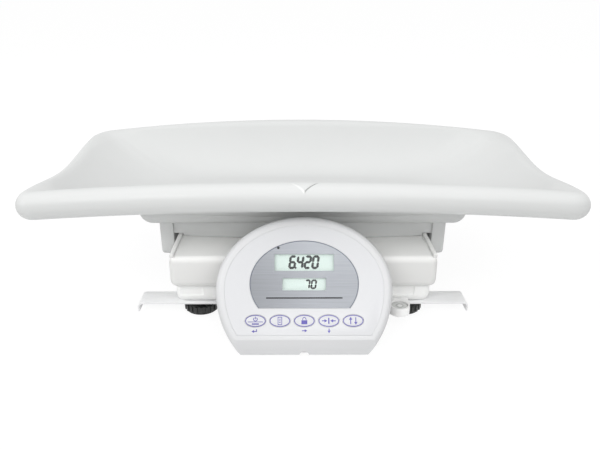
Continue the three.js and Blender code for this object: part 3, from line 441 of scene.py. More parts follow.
def mix_colors(tree, factor, a, b, blend="MIX"):
    return put(tree, "ShaderNodeMix", {0: factor, 6: a, 7: b}, data_type="RGBA", blend_type=blend).outputs[2]


def raised(tree, height, strength, distance, **more):
    inputs = {"Height": height, "Strength": strength, "Distance": distance, **more}
    return put(tree, "ShaderNodeBump", inputs).outputs[0]


def new_group(name, inputs, outputs):
    tree = bpy.data.node_groups.new(name, "ShaderNodeTree")
    for label, kind, value in inputs:
        tree.interface.new_socket(label, in_out="INPUT", socket_type=kind).default_value = value
    for label, kind in outputs:
        tree.interface.new_socket(label, in_out="OUTPUT", socket_type=kind)
    return tree, put(tree, "NodeGroupInput").outputs, put(tree, "NodeGroupOutput").inputs


def moulding_group():
    """Soft cloudy colour, uneven sheen and a very fine grain, as on an injection moulding."""
    tree, given, out = new_group(
        "Moulded skin",
        [
            ("Color", COLOR, (0.8, 0.8, 0.8, 1)), ("Shade", COLOR, (0.7, 0.7, 0.7, 1)),
            ("Grain per metre", NUMBER, 1400), ("Smooth", NUMBER, 0.3), ("Rough", NUMBER, 0.4),
        ],
        [("Color", COLOR), ("Roughness", NUMBER), ("Height", NUMBER)],
    )
    place = own_place(tree)
    cloud = ramp(tree, noise(tree, place, 11, 3), (0.35, 0.65))
    sheen = noise(tree, place, 38, 4, 0.62)
    send(tree, {
        "Color": mix_colors(tree, cloud, given["Shade"], given["Color"]),
        "Roughness": ramp(tree, sheen, (0.3, 0.7), (given["Smooth"], given["Rough"])),
        "Height": noise(tree, place, given["Grain per metre"], 2),
    }, out)
    return tree


def edge_and_crease_group():
    """A mask that is 1 along outer edges, broken up by noise, and one that is 1 in inner corners."""
    tree, given, out = new_group(
        "Edges and creases", [("Reach", NUMBER, 0.06)], [("Edge", NUMBER), ("Crease", NUMBER)],
    )
    point = put(tree, "ShaderNodeNewGeometry").outputs["Pointiness"]
    breaks = noise(tree, own_place(tree), 160, 3)
    edge = ramp(tree, point, (0.52, calc(tree, "ADD", 0.52, given["Reach"])))
    crease = ramp(tree, point, (0.48, calc(tree, "SUBTRACT", 0.48, given["Reach"])))
    send(tree, {"Edge": calc(tree, "MULTIPLY", edge, breaks), "Crease": crease}, out)
    return tree


def brushed_group():
    """Fine straight lines along X, as left by a brush on metal."""
    tree, given, out = new_group(
        "Brushed lines",
        [
            ("Color", COLOR, (0.6, 0.6, 0.6, 1)), ("Shade", COLOR, (0.4, 0.4, 0.4, 1)),
            ("Smooth", NUMBER, 0.25), ("Rough", NUMBER, 0.45), ("Lines per metre", NUMBER, 2600),
        ],
        [("Color", COLOR), ("Roughness", NUMBER), ("Height", NUMBER)],
    )
    stretch = {0: own_place(tree), 1: (0.012, 1, 1)}
    drawn = put(tree, "ShaderNodeVectorMath", stretch, operation="MULTIPLY").outputs[0]
    lines = noise(tree, drawn, given["Lines per metre"], 3, 0.7)
    send(tree, {
        "Color": mix_colors(tree, lines, given["Shade"], given["Color"]),
        "Roughness": ramp(tree, lines, (0.25, 0.75), (given["Smooth"], given["Rough"])),
        "Height": lines,
    }, out)
    return tree


def upright_shade_group():
    """Painted shade: the share of its colour that a face keeps, all of it where it is level, less where it is
    upright.
    """
    tree, given, out = new_group("Painted shade on upright faces", [("Side", NUMBER, 0.9)], [("Share", NUMBER)])
    normal = put(tree, "ShaderNodeNewGeometry").outputs["Normal"]
    flat = calc(tree, "ABSOLUTE", axes(tree, normal)["Z"])
    share = ramp(tree, flat, (0.2, 0.98), (given["Side"], 1), interpolation_type="SMOOTHSTEP")
    send(tree, {"Share": share}, out)
    return tree


MOULDED = moulding_group()
EDGES_AND_CREASES = edge_and_crease_group()
BRUSHED = brushed_group()
UPRIGHT_SHADE = upright_shade_group()


# Finishes, one for each material slot, and for the prints and the level's liquid

def rgba(color):
    return (*color, 1)


def darker(color, share):
    return rgba([c * share for c in color])


def new_finish(name, **shader):
    """A material, its node tree and its shader's sockets, with the shader values set on those sockets."""
    material = bpy.data.materials.new(name)
    material.use_nodes = True
    tree = material.node_tree
    sockets = tree.nodes["Principled BSDF"].inputs
    for key, value in shader.items():
        sockets[key.replace("_", " ").title().replace("Ior", "IOR")].default_value = value
    return material, tree, sockets


def moulded(name, color, smooth, rough, grain=1400, bump=0.04, shade=0.985, wear_and_crease_shade=0.15, side=1, **shader):
    """Darker in its creases by painted shade, smoother along its edges, and greyer on upright faces by
    painted shade where side is below 1.
    """
    material, tree, sockets = new_finish(name, **shader)
    skin = put(tree, "ShaderNodeGroup", {
        "Color": rgba(color), "Shade": darker(color, shade), "Grain per metre": grain,
        "Smooth": smooth, "Rough": rough,
    }, node_tree=MOULDED).outputs
    edges_and_creases = put(tree, "ShaderNodeGroup", node_tree=EDGES_AND_CREASES).outputs
    # Painted shade: inner creases are mixed towards a darker colour
    crease_shade = calc(tree, "MULTIPLY", edges_and_creases["Crease"], wear_and_crease_shade)
    shown = mix_colors(tree, crease_shade, skin["Color"], darker(color, 0.72))
    # Painted shade: upright faces keep less of their colour when side is below 1
    if side < 1:
        share = put(tree, "ShaderNodeGroup", {"Side": side}, node_tree=UPRIGHT_SHADE).outputs["Share"]
        shown = mix_colors(tree, 1, shown, grey(tree, share), "MULTIPLY")
    edges = calc(tree, "MULTIPLY", edges_and_creases["Edge"], wear_and_crease_shade)
    send(tree, {
        "Base Color": shown,
        "Roughness": calc(tree, "SUBTRACT", skin["Roughness"], edges, use_clamp=True),
        "Normal": raised(tree, skin["Height"], bump, 0.0002),
    }, sockets)
    return material


def brushed(name, color, smooth, rough, lines=2600, bump=0.05, shade=0.7, **shader):
    """A metal or a metallic film, with fine lines along X."""
    material, tree, sockets = new_finish(name, **shader)
    skin = put(tree, "ShaderNodeGroup", {
        "Color": rgba(color), "Shade": darker(color, shade), "Lines per metre": lines,
        "Smooth": smooth, "Rough": rough,
    }, node_tree=BRUSHED).outputs
    send(tree, {
        "Base Color": skin["Color"],
        "Roughness": skin["Roughness"],
        "Normal": raised(tree, skin["Height"], bump, 0.0001),
    }, sockets)
    return material


def centre_mark(material):
    """A low V-shaped ridge on the crest of the front rim, with a painted highlight on its left arm and
    painted shade on its right arm.
    """
    tree = material.node_tree
    sockets = tree.nodes["Principled BSDF"].inputs
    place = axes(tree, own_place(tree))
    sideways = calc(tree, "ABSOLUTE", place["X"])
    arm = ramp(tree, place["Y"], MARK["y"], (0, MARK["half_width"]), clamp=False)
    distance = calc(tree, "ABSOLUTE", calc(tree, "SUBTRACT", arm, sideways))
    right = ramp(tree, place["X"], (-0.001, 0.001))
    width = ramp(tree, right, (0, 1), MARK["arm_widths"])
    ridge = ramp(tree, distance, (0, width), (1, 0))
    fade = ramp(tree, sideways, MARK["fade"], (1, 0))
    crest = ramp(tree, place["Z"], MARK["crest"])
    height = calc(tree, "MULTIPLY", ridge, calc(tree, "MULTIPLY", fade, crest))
    # Painted light: the left arm gets a pale painted highlight colour and the right arm a dark painted shade
    # colour
    painted_arm_light_and_shade = mix_colors(tree, right, rgba(MARK["lit"]), rgba(MARK["shaded"]))
    under, normal = [sockets[key].links[0].from_socket for key in ("Base Color", "Normal")]
    send(tree, {
        "Base Color": mix_colors(tree, height, under, painted_arm_light_and_shade),
        "Normal": raised(tree, height, 0.7, 0.0006, Normal=normal),
    }, sockets)


def painted_reflection(material):
    """A painted reflection: a broad pale sheen, highest over the middle of the brushed film and lower at its
    left side.
    """
    tree = material.node_tree
    base = tree.nodes["Principled BSDF"].inputs["Base Color"]
    place = axes(tree, own_place(tree))
    sideways = ramp(tree, place["X"], (-0.052, 0.012))
    upwards = ramp(tree, place["Z"], (0.07, 0.106))
    sheen = ramp(tree, calc(tree, "ADD", sideways, upwards), (0, 2), (0.72, 1.18))
    # Painted reflection: the film's colour is multiplied by the sheen
    shown = mix_colors(tree, 1, base.links[0].from_socket, grey(tree, sheen), "MULTIPLY")
    tree.links.new(shown, base)


# Where side is below 1, upright faces get painted shade; every moulded finish also gets painted shade in its
# creases
finishes = {
    "tray_plastic": moulded(
        "White tray moulding", (0.71, 0.72, 0.715), 0.42, 0.48, bump=0.02, shade=0.99, wear_and_crease_shade=0.08, side=0.8,
        coat_weight=0.05,
    ),
    "carrier_plastic": moulded("Carrier moulding", (0.66, 0.67, 0.665), 0.42, 0.5),
    "cover_plastic": moulded("Cover moulding", (0.97, 0.97, 0.955), 0.56, 0.66, side=0.73),
    "chassis_plastic": moulded("Chassis moulding", (0.88, 0.885, 0.875), 0.38, 0.44),
    "bracket_metal": moulded(
        "White powder coat", (0.93, 0.935, 0.94), 0.34, 0.4, grain=2600, bump=0.1, side=0.85,
    ),
    "level_plastic": moulded("Level lug moulding", (0.95, 0.95, 0.945), 0.28, 0.38),
    "foot_plastic": moulded("Black wheel moulding", (0.02, 0.022, 0.021), 0.26, 0.36, bump=0.1, shade=0.7),
    "rubber": moulded("Black rubber", (0.018, 0.018, 0.019), 0.7, 0.86, grain=2200, bump=0.3, shade=0.7),
    "screw_steel": brushed("Zinc-plated screw", (0.55, 0.56, 0.57), 0.25, 0.42, metallic=1),
    "frame_steel": brushed("Pressed steel", (0.60, 0.61, 0.62), 0.3, 0.48, metallic=1),
    "cell_aluminium": brushed("Machined aluminium", (0.72, 0.73, 0.74), 0.28, 0.44, metallic=1),
    "circuit_board": moulded("Green circuit board", (0.03, 0.15, 0.07), 0.3, 0.42, bump=0.15, shade=0.75),
    "black_plastic": moulded("Black moulding", (0.02, 0.02, 0.022), 0.36, 0.5, bump=0.08, shade=0.8),
    "battery_sleeve": moulded(
        "Printed cell sleeve", (0.05, 0.075, 0.11), 0.22, 0.34, shade=0.8, metallic=0.4,
    ),
    "door_plastic": moulded("Door moulding", (0.80, 0.81, 0.80), 0.36, 0.5),
    "display_plastic": moulded(
        "White display moulding", (0.69, 0.695, 0.705), 0.4, 0.44, bump=0.02, side=0.84, coat_weight=0.05,
    ),
    "keypad_film": moulded("White keypad film", (0.61, 0.615, 0.63), 0.36, 0.41, grain=3200, bump=0.05),
    "key_film": moulded("White key film", (0.61, 0.615, 0.635), 0.34, 0.39, grain=3200, bump=0.05),
    "silver_film": brushed(
        "Brushed silver film", (0.33, 0.345, 0.372), 0.36, 0.5, lines=1300, shade=0.62, metallic=0.5,
    ),
    "lcd": moulded("Pale green display", (0.66, 0.775, 0.73), 0.3, 0.36, bump=0.01, shade=0.98),
    "led": moulded("Dark indicator lens", (0.01, 0.01, 0.012), 0.1, 0.2, shade=0.8, coat_weight=0.5),
    "indigo_print": moulded("Indigo print", (0.075, 0.06, 0.36), 0.34, 0.44, shade=0.85),
    "black_print": moulded(
        "Black print", (0.012, 0.012, 0.014), 0.36, 0.48, shade=0.8, specular_ior_level=0.15,
    ),
    "outline_print": moulded("Blue-grey print", (0.10, 0.12, 0.17), 0.36, 0.44, shade=0.85),
    "segment": moulded(
        "Display segment", (0.012, 0.014, 0.016), 0.2, 0.3, shade=0.8, specular_ior_level=0.15,
    ),
    "window": moulded("Clear window", (0.9, 0.94, 0.93), 0.04, 0.08, bump=0.0, alpha=0.04),
    "vial": moulded("Level dome", (0.9, 0.91, 0.9), 0.04, 0.08, bump=0.0, alpha=0.22, coat_weight=0.5),
    "liquid": moulded("Level liquid", (0.74, 0.75, 0.735), 0.1, 0.18, shade=0.9, coat_weight=0.6),
}
# Painted light: a painted highlight and painted shade on the tray's V mark, and a painted reflection on the
# silver film
centre_mark(finishes["tray_plastic"])
painted_reflection(finishes["silver_film"])
# The slot of each finish that isn't a slot itself
for entry in frame["record"]["subparts"]:
    nodes[entry["node"]].data.materials.clear()
    nodes[entry["node"]].data.materials.append(finishes[entry["material_slot"]])


# Tray: one shell whose section changes along an arched rim, rolled over to a half-round edge

def quadratic(a, b, c, steps):
    """Points along a curve from a towards c, without c."""
    shares = [i / steps for i in range(steps)]
    return [(1 - t) ** 2 * a + 2 * (1 - t) * t * b + t * t * c for t in shares]


def tray_outline():
    end_x = TRAY_HALF_LENGTH - TRAY_END_BOW
    side_y = TRAY_HALF_WIDTH - TRAY_SIDE_BOW
    corner_x = end_x - TRAY_CORNER
    corner_y = side_y - TRAY_CORNER
    at = [
        Vector((end_x, 0)), Vector((end_x, corner_y / 2)), Vector((end_x - TRAY_END_BOW / 2, corner_y)),
        Vector((end_x - TRAY_END_BOW, side_y)), Vector((corner_x, side_y + 2)),
        Vector((corner_x / 2, TRAY_HALF_WIDTH)), Vector((0, TRAY_HALF_WIDTH)),
    ]
    first = quadratic(*at[0:3], 12) + quadratic(*at[2:5], 18) + quadratic(*at[4:7], 26)
    stretch = TRAY_HALF_LENGTH / end_x
    first = [Vector((p.x * stretch, p.y)) for p in first]
    half = first + [at[6]] + [Vector((-p.x, p.y)) for p in reversed(first[1:])]
    return half + [Vector((-TRAY_HALF_LENGTH, 0))] + [Vector((p.x, -p.y)) for p in reversed(half[1:])]


def smooth_share(value, low, high):
    """From 0 at low to 1 at high, easing in and out."""
    t = max(0, min(1, (value - low) / (high - low)))
    return t * t * (3 - 2 * t)


def rim_height(point):
    """The rim arches along its long sides, and dips in the middle of its ends."""
    along = point.x / TRAY_HALF_LENGTH
    across = min(1, abs(point.y) / (TRAY_HALF_WIDTH - TRAY_SIDE_BOW - 9))
    dip = RIM_END_DIP * math.cos(across * math.pi / 2) ** 2 * smooth_share(abs(along), 0.8, 1)
    return RIM_TOP - RIM_SIDE_DROP * along * along - dip


def trough_foot(edge):
    """The place on the floor, between an oval and a rectangle, where the wall from one rim station ends."""
    along = abs(edge.x / TRAY_HALF_LENGTH) ** TROUGH_SQUARENESS
    across = abs(edge.y / TRAY_HALF_WIDTH) ** TROUGH_SQUARENESS
    share = (along + across) ** (-1 / TROUGH_SQUARENESS)
    return Vector((edge.x * TROUGH_LENGTH_SHARE * share, edge.y * TROUGH_WIDTH_SHARE * share))


def crest_reach(edge):
    """How far inwards the crest of the rim runs on before the wall falls away, widest at the corners."""
    near_end = smooth_share(abs(edge.x) / TRAY_HALF_LENGTH, 0.74, 0.98)
    near_side = smooth_share(abs(edge.y) / TRAY_HALF_WIDTH, 0.4, 0.9)
    return RIM_ROLL + RIM_CORNER_EASE * near_end * near_side


def tray_section(edge, inwards, thickness, inner=8, outer=12, lip=8):
    """From the trough's foot up the wall and over the rolled rim, moved in by the wall's thickness."""
    foot = trough_foot(edge)
    apex = rim_height(edge)
    crest = edge + inwards * RIM_ROLL
    towards = (foot - crest).normalized()
    reach = crest_reach(edge)
    slope = 2 * (apex - RIM_ROLL / 3 - TROUGH_FLOOR) / ((foot - crest).length - RIM_ROLL)
    inner_turn = math.atan(slope * reach / RIM_ROLL)
    wall_top = crest + towards * reach * math.sin(inner_turn)
    run = (wall_top - foot).length
    drop = apex - RIM_ROLL * (1 - math.cos(inner_turn)) - TROUGH_FLOOR
    pull = drop / slope
    points = []
    for i in range(WALL_STEPS, 0, -1):
        t = i / WALL_STEPS
        tangent = Vector((2 * (1 - 2 * t) * pull + 2 * t * run, -2 * (1 - t) * drop)).normalized()
        plan = wall_top + towards * (2 * (1 - t) * t * pull + t * t * run + tangent.y * thickness)
        points.append((*plan, TROUGH_FLOOR + (1 - t) ** 2 * drop - tangent.x * thickness))
    radius = RIM_ROLL - thickness
    for i in range(inner):
        angle = inner_turn * (1 - i / inner)
        plan = crest + towards * (reach - thickness) * math.sin(angle)
        points.append((*plan, apex - RIM_ROLL + radius * math.cos(angle)))
    for i in range(outer + lip + 1):
        past = max(0, i - outer) / lip
        angle = min(i / outer, 1) * math.pi / 2 + past * (RIM_TURN - math.pi / 2)
        plan = crest - inwards * radius * math.sin(angle)
        points.append((*plan, apex - RIM_ROLL + radius * math.cos(angle)))
    return points


def stations_round(thickness, **steps):
    """The tray's section at every station round the rim."""
    outline = tray_outline()
    sections = []
    for i, edge in enumerate(outline):
        before = (edge - outline[i - 1]).normalized()
        after = (outline[(i + 1) % len(outline)] - edge).normalized()
        inwards = Vector((-before.y - after.y, before.x + after.x)).normalized()
        sections.append(tray_section(edge, inwards, thickness, **steps))
    return sections


def grid_through(name, stations):
    """A grid bent into a ring, with one column of points for each station."""
    columns = len(stations) + 1
    piece = add("grid", name, x_subdivisions=columns - 1, y_subdivisions=len(stations[0]) - 1, size=1)
    for vertex in piece.data.vertices:
        row, column = divmod(vertex.index, columns)
        vertex.co = stations[column % len(stations)][row]
    return piece


def tray_shell():
    stations = [under + over[::-1] for under, over in zip(stations_round(TRAY_WALL), stations_round(0))]
    shell = grid_through("tray_shell", stations)
    edit(shell)
    close_up()
    for height in (TROUGH_FLOOR, TROUGH_FLOOR - TRAY_WALL):
        pick(shell, "edges", lambda e: e.is_boundary and level(height)(e))
        bpy.ops.mesh.edge_face_add()
        bpy.ops.mesh.inset(thickness=4)
    done()
    return turn_out(shell)


seat(tray_shell(), BASE, "tray_plastic", "tray", "tray", smooth=50)


# Tray carrier: flange under the trough, hanging bowed web, two cheeks with pockets, four screw posts

def bowed_slab(name, z0, z1, inset=0):
    """The web's outline: an oval cut off at both ends, so that its long sides bow out."""
    half_length = WEB["half_length"] - inset
    half_width = WEB["half_width"] - inset
    middle_width = half_width + WEB["bow"]
    half_oval = half_length / math.sqrt(1 - (half_width / middle_width) ** 2)
    piece = oval(name, half_oval, middle_width, z0, z1, sides=160)
    slice_off(piece, (half_length, 0, 0), (1, 0, 0))
    return slice_off(piece, (-half_length, 0, 0), (-1, 0, 0))


def cheek(side):
    """A wall that narrows downwards, with a shallow pocket in its outer face."""
    piece = block("cheek", CHEEK["x"], CHEEK["y"], CHEEK["z"])
    foot = CHEEK["z"][0]
    edit(piece, "VERT")
    pick(piece, "verts", lambda v: v.co.z < foot + 1)
    resize(1, CHEEK_FOOT / CHEEK["y"][1])
    done()
    bevel(piece, 6, 6, lambda e: level(foot)(e) and runs_along(0, e))
    soften(piece, 0.8, 3)
    pocket = block("pocket", (156, 170), (-46, 46), (59, 90))
    bevel(pocket, 4, 4, lambda e: runs_along(0, e))
    cut(piece, pocket)
    piece.data.transform(Matrix.Scale(side, 4, (1, 0, 0)))
    return turn_out(piece)


def tray_room():
    """What the trough's underside takes up, with a little play."""
    walls = stations_round(TRAY_WALL + 0.3, inner=1, outer=1, lip=1)
    room = grid_through("tray_room", [section[:WALL_STEPS + 1] for section in walls])
    edit(room)
    close_up()
    pick(room, "edges", lambda e: e.is_boundary and middle(e).z < TROUGH_FLOOR)
    bpy.ops.mesh.edge_face_add()
    pick(room, "edges", lambda e: e.is_boundary)
    bpy.ops.mesh.extrude_edges_move(TRANSFORM_OT_translate={"value": (0, 0, 60)})
    resize(1, 1, 0, about=(0, 0, 230))
    bpy.ops.mesh.edge_face_add()
    done()
    return turn_out(room)


def carrier():
    x, y, z = FLANGE["x"], FLANGE["y"], FLANGE["z"]
    body = rounded_block("carrier_moulding", x, y, z, FLANGE_CORNER, bottom=10)
    pocket = rounded_block(
        "pocket", inside(x, FLANGE_WALL), inside(y, FLANGE_WALL), (z[0] + FLANGE_FLOOR, z[1] + 2),
        FLANGE_CORNER - FLANGE_WALL,
    )
    cut(body, pocket, tray_room())
    web = bowed_slab("web", *WEB["z"])
    for x0, x1 in ((-160, -142), (142, 160)):
        cut(web, block("notch", (x0, x1), (-70, 70), (70, POST_FOOT)))
    soften(web, 0.6, 3)
    weld(body, web)
    cut(body, bowed_slab("web_room", 70, WEB["z"][1] - 1, WEB_WALL))
    rib_z = (WEB["z"][1], RIB_TOP)
    ribs = [block("rib", (place - 1.5, place + 1.5), (-69, 69), rib_z) for place in (-80, 0, 80)]
    weld(body, *ribs, block("spine", (-182, 182), (-1.5, 1.5), rib_z), cheek(-1), cheek(1))
    for _, across, along in CORNERS:
        at = {"x": across * POST[0], "y": along * POST[1]}
        weld(body, disc("post", 13, POST_FOOT, rib_z[0], **at), disc("post_top", 8, *rib_z, **at, sides=32))
        cut(body, disc("hole", 2.3, 70, 110, **at, sides=24), disc("sink", 4.8, 70, 92, **at, sides=32))
    return body


seat(carrier(), BASE, "carrier_plastic", "tray", "tray_carrier")


# Platform cover: an upturned shell with rounded top edges and a rib along each end

def cover():
    x, y, z = COVER["x"], COVER["y"], COVER["z"]
    body = rounded_block("cover_moulding", x, y, z, COVER_CORNER, top=2.5)
    room_z = (z[0] - 1, z[1] - BASE_WALL)
    corner = COVER_CORNER - BASE_WALL
    cut(body, rounded_block("room", inside(x, BASE_WALL), inside(y, BASE_WALL), room_z, corner, top=1.5))
    for side in (-1, 1):
        rib = block("rib", sorted((side * 147.8, side * 142.8)), (-112, 112), (73, COVER_RIB_TOP))
        bevel(rib, 1.5, 4, lambda e: level(COVER_RIB_TOP)(e) or (upright(e) and middle(e).z > 70))
        weld(body, rib)
    for _, across, along in CORNERS:
        at = (across * BUFFER[0], along * BUFFER[1])
        weld(body, cut(disc("socket", 11, 69, 73, *at), disc("room", 8.6, 68, 74, *at)))
    return body


seat(cover(), BASE, "cover_plastic", "platform", "platform_cover")


# Chassis: a shallow tub with foot bosses, battery opening, door rails and two small front recesses

def battery_door_track(side):
    """One side of the door's track: a rail with a lip that the door rests on."""
    inner = DOOR_TRACK["middle"] + side * DOOR_TRACK["half"]
    outer = inner + side * 6
    bottom = DOOR_TRACK["bottom"]
    rail = block("rail", sorted((inner, outer)), DOOR_TRACK["y"], (bottom, 17.3))
    lip = block("lip", sorted((inner - side * 3, outer)), DOOR_TRACK["y"], (bottom, 13.6))
    return rail, lip


def chassis():
    x, y, z = CHASSIS["x"], CHASSIS["y"], CHASSIS["z"]
    body = rounded_block("chassis_tub", x, y, z, CHASSIS_CORNER, bottom=3)
    room_z = (z[0] + CHASSIS_FLOOR, z[1] + 1)
    corner = CHASSIS_CORNER - BASE_WALL
    cut(body, rounded_block("room", inside(x, BASE_WALL), inside(y, BASE_WALL), room_z, corner))
    for _, across, along in CORNERS:
        at = (across * FOOT[0], along * FOOT[1])
        weld(body, disc("boss", 9, 18, 38, *at, sides=48))
        cut(body, disc("hole", 4.5, 15, 37.4, *at, sides=32))
    weld(body, block("cell_pad", (-64, -26), (-18, 18), (18, 23.6)))
    for place in (-80, 8):
        weld(body, block("rib", (place - 1, place + 1), (-106, -22), CHASSIS_RIB))
    weld(body, block("rib", (-118, 118), (-62, -60), CHASSIS_RIB))
    cut(body, block("bay", (23, 83), (27, 89), (15, 21)))
    for side in (-1, 1):
        weld(body, *battery_door_track(side))
    for place in CELL_BOLTS:
        hole = disc("hole", 3.5, 15, 28, place, 0, sides=32)
        cut(body, hole, disc("sink", 5.6, 15, 20.3, place, 0, sides=40))
    for recess_x in FRONT_RECESSES:
        recess = block("recess", recess_x, (-109, -106.8), (25.5, 37))
        bevel(recess, 1.5, 4, lambda e: runs_along(1, e))
        cut(body, recess)
    cut(
        body,
        block("socket_hole", (-97.3, -82.7), (104, 109), (20.7, 32.3)),
        block("peg_hole", (101.7, 112.3), (-109, -104), (16.7, 21.3)),
    )
    return body


seat(chassis(), BASE, "chassis_plastic", "base", "chassis")


# Side brackets: sheet strips under the front corners, their ends bent down

def bracket():
    end = STRIP["x"][1]
    bend = (end, 0, STRIP["z"][0] - STRIP_BEND)
    strip = block("side_strip_right", STRIP["x"], STRIP["y"], STRIP["z"])
    edit(strip, "FACE")
    pick(strip, "faces", lambda f: middle(f).x > end - 0.1)
    bpy.ops.mesh.spin(steps=10, angle=math.radians(-90), center=bend, axis=(0, 1, 0))
    extrude(-STRIP_DROP)
    done()
    turn_out(strip)
    cut(strip, disc("hole", 5.2, 10, 18, FOOT[0], -FOOT[1], sides=32))
    return soften(strip, 0.35, 2, 50)


right_strip = bracket()
left_strip = twin(right_strip, "side_strip_left", Matrix.Scale(-1, 4, (1, 0, 0)))
seat(right_strip, BASE, "bracket_metal", "base", "side_bracket_right")
seat(left_strip, BASE, "bracket_metal", "base", "side_bracket_left")


# Levelling feet: knurled wheel with its threaded stem, on a rubber sole

def knurled_wheel():
    """A rim with broad grips, on a stem whose lower part is threaded."""
    sides = 2 * WHEEL["grips"]
    step = 2 * math.pi / sides
    rim = disc("wheel", WHEEL["groove_radius"], *WHEEL["z"], sides=sides)
    edit(rim, "FACE")
    pick(
        rim, "faces",
        lambda f: abs(f.normal.z) < 0.5 and math.floor(math.atan2(middle(f).y, middle(f).x) / step) % 2 == 0,
        enclosed=False,
    )
    bpy.ops.mesh.extrude_faces_move(TRANSFORM_OT_shrink_fatten={"value": 0})
    spread = WHEEL["grip_radius"] / WHEEL["groove_radius"]
    resize(spread, spread)
    done()
    soften(rim, 0.5, 3, 30)
    bottom = STEM["bottom"]
    stem = add(
        "circle", "stem", vertices=24, radius=STEM["radius"], fill_type="NGON", location=(0, 0, bottom),
    )
    edit(stem, "FACE")
    bpy.ops.mesh.select_all(action="SELECT")
    low = STEM["root"] / STEM["radius"]
    rise = STEM["pitch"] / 2
    for i in range(2 * STEM["threads"]):
        extrude(rise)
        ratio = low if i % 2 == 0 else 1 / low
        resize(ratio, ratio, about=(0, 0, bottom + rise * (i + 1)))
    extrude(STEM["plain"])
    done()
    return weld(rim, turn_out(stem))


wheel = knurled_wheel()
sole = disc("sole", SOLE_RADIUS, 0, SOLE_TOP, sides=72)
bevel(sole, 0.8, 3, level(0))
bevel(sole, 0.3, 2, level(SOLE_TOP))
for corner, x, y in CORNERS:
    move = Matrix.Translation((x * FOOT[0], y * FOOT[1], 0))
    turned = twin(wheel, f"wheel_{corner}", move)
    seat(turned, BASE, "foot_plastic", f"wheel_{corner}", f"foot_wheel_{corner}")
    seat(twin(sole, f"sole_pad_{corner}", move), BASE, "rubber", f"sole_{corner}", f"foot_sole_{corner}")
for spare in (wheel, sole):
    bpy.data.objects.remove(spare)


# Spirit level: a round-ended lug with a vial let into it

def level_lug():
    x, y = LEVEL
    front = CHASSIS["y"][0]
    lug = block("level_lug", (x - LUG_RADIUS, x + LUG_RADIUS), (y, front - 0.3), LUG_Z)
    weld(lug, disc("nose", LUG_RADIUS, *LUG_Z, x, y, 96))
    bevel(lug, 1, 4, level(LUG_Z[1]))
    weld(lug, block("peg", (x - 5, x + 5), (front - 1.3, front + 3), (17, 21)))
    return cut(lug, disc("seat", 9.5, 17, 24, x, y, 64))


def vial():
    """The liquid, its bubble, the printed circle round it and the clear dome."""
    x, y = LEVEL
    liquid = disc("level_liquid", 8.8, VIAL_FOOT, LIQUID_TOP, x, y)
    bevel(liquid, 0.6, 3, level(LIQUID_TOP))
    bubble = add(
        "sphere", "bubble", segments=32, ring_count=16, radius=1, location=(x + 0.4, y + 0.3, LIQUID_TOP),
        scale=(2.6, 2.6, 0.7),
    )
    circle = cut(disc("ring", 4.0, 21.35, 21.5, x, y), disc("hole", 3.7, 21, 22, x, y))
    dome = disc("level_dome", 9.2, VIAL_FOOT, 22.2, x, y)
    edit(dome, "FACE")
    pick(dome, "faces", lambda f: middle(f).z > 22)
    for rise, share in ((0.6, 0.9), (0.45, 0.86), (0.25, 0.75), (0.08, 0.5)):
        extrude(rise)
        resize(share, share, about=(x, y, 0))
    done()
    return liquid, bubble, circle, dome


seat(level_lug(), BASE, "level_plastic", "base", "level_holder")
liquid, bubble, circle, dome = vial()
seat(liquid, BASE, "liquid", "base")
seat(bubble, BASE, "level_plastic", "base")
seat(circle, BASE, "black_print", "base")
seat(dome, BASE, "vial", "base", "level_vial")


# Display head

# Where the upright front wall and the flat bottom face, in the head's own frame
FRONT_WALL = (0, -math.cos(HEAD_TILT), math.sin(HEAD_TILT))
BOTTOM = (0, -math.sin(HEAD_TILT), -math.cos(HEAD_TILT))


def arch(name, form, z0, z1, inset=0):
    """A block with an arch for its outline: half an oval up, and half an oval of another height down."""
    piece = add("cylinder", name, vertices=180, radius=1, depth=z1 - z0, location=(0, 0, (z0 + z1) / 2))
    half_width = form["half_width"] - inset
    edit(piece, "VERT")
    for upper, height in ((True, form["rise"]), (False, form["fall"])):
        pick(piece, "verts", lambda v: (v.co.y > -0.0001) == upper)
        resize(half_width, height - inset)
    bpy.ops.mesh.select_all(action="SELECT")
    bpy.ops.transform.translate(value=(0, form["widest"], 0))
    done()
    if "foot" in form:
        slice_off(piece, (0, form["foot"] + inset, 0), (0, -1, 0))
    return piece


def to_front_and_bottom(piece, wall=0):
    """Cuts the head's outline off by the upright front wall and the flat bottom, each moved in by wall."""
    slice_off(piece, Vector(FRONT_WALL) * -wall, FRONT_WALL)
    return slice_off(piece, Vector((0, 0, BOTTOM_DEPTH)) + Vector(BOTTOM) * -wall, BOTTOM)


def film(name, z0, z1, inset):
    """The keypad film's outline, with rounded lower corners."""
    piece = arch(name, {**SHELL, "foot": FILM_FOOT - FILM_INSET}, z0, z1, inset)
    bevel(piece, 7, 6, lambda e: upright(e) and middle(e).y < FILM_FOOT + 3)
    return piece


def key_holes(margin, z0, z1):
    return [oval("key_hole", KEY_HALF[0] + margin, KEY_HALF[1] + margin, z0, z1, x, KEY_Y) for x in KEY_X]


def led_hole(z0, z1):
    return disc("led_hole", 1.4, z0, z1, *LED, sides=24)


def lcd_block(name, lcd, margin, z0, z1):
    half_x, half_y, y = LCDS[lcd]
    half_x += margin
    half_y += margin
    return block(name, (-half_x, half_x), (y - half_y, y + half_y), (z0, z1))


def lcd_openings(margin, z0, z1):
    return [lcd_block("opening", lcd, margin, z0, z1) for lcd in LCDS]


def above_front_wall(edge):
    """A test for the edge where the head's face meets its upright front wall."""
    at = middle(edge)
    return abs(at.y) < 0.01 and abs(at.z) < 0.01 and len(edge.link_faces) == 2


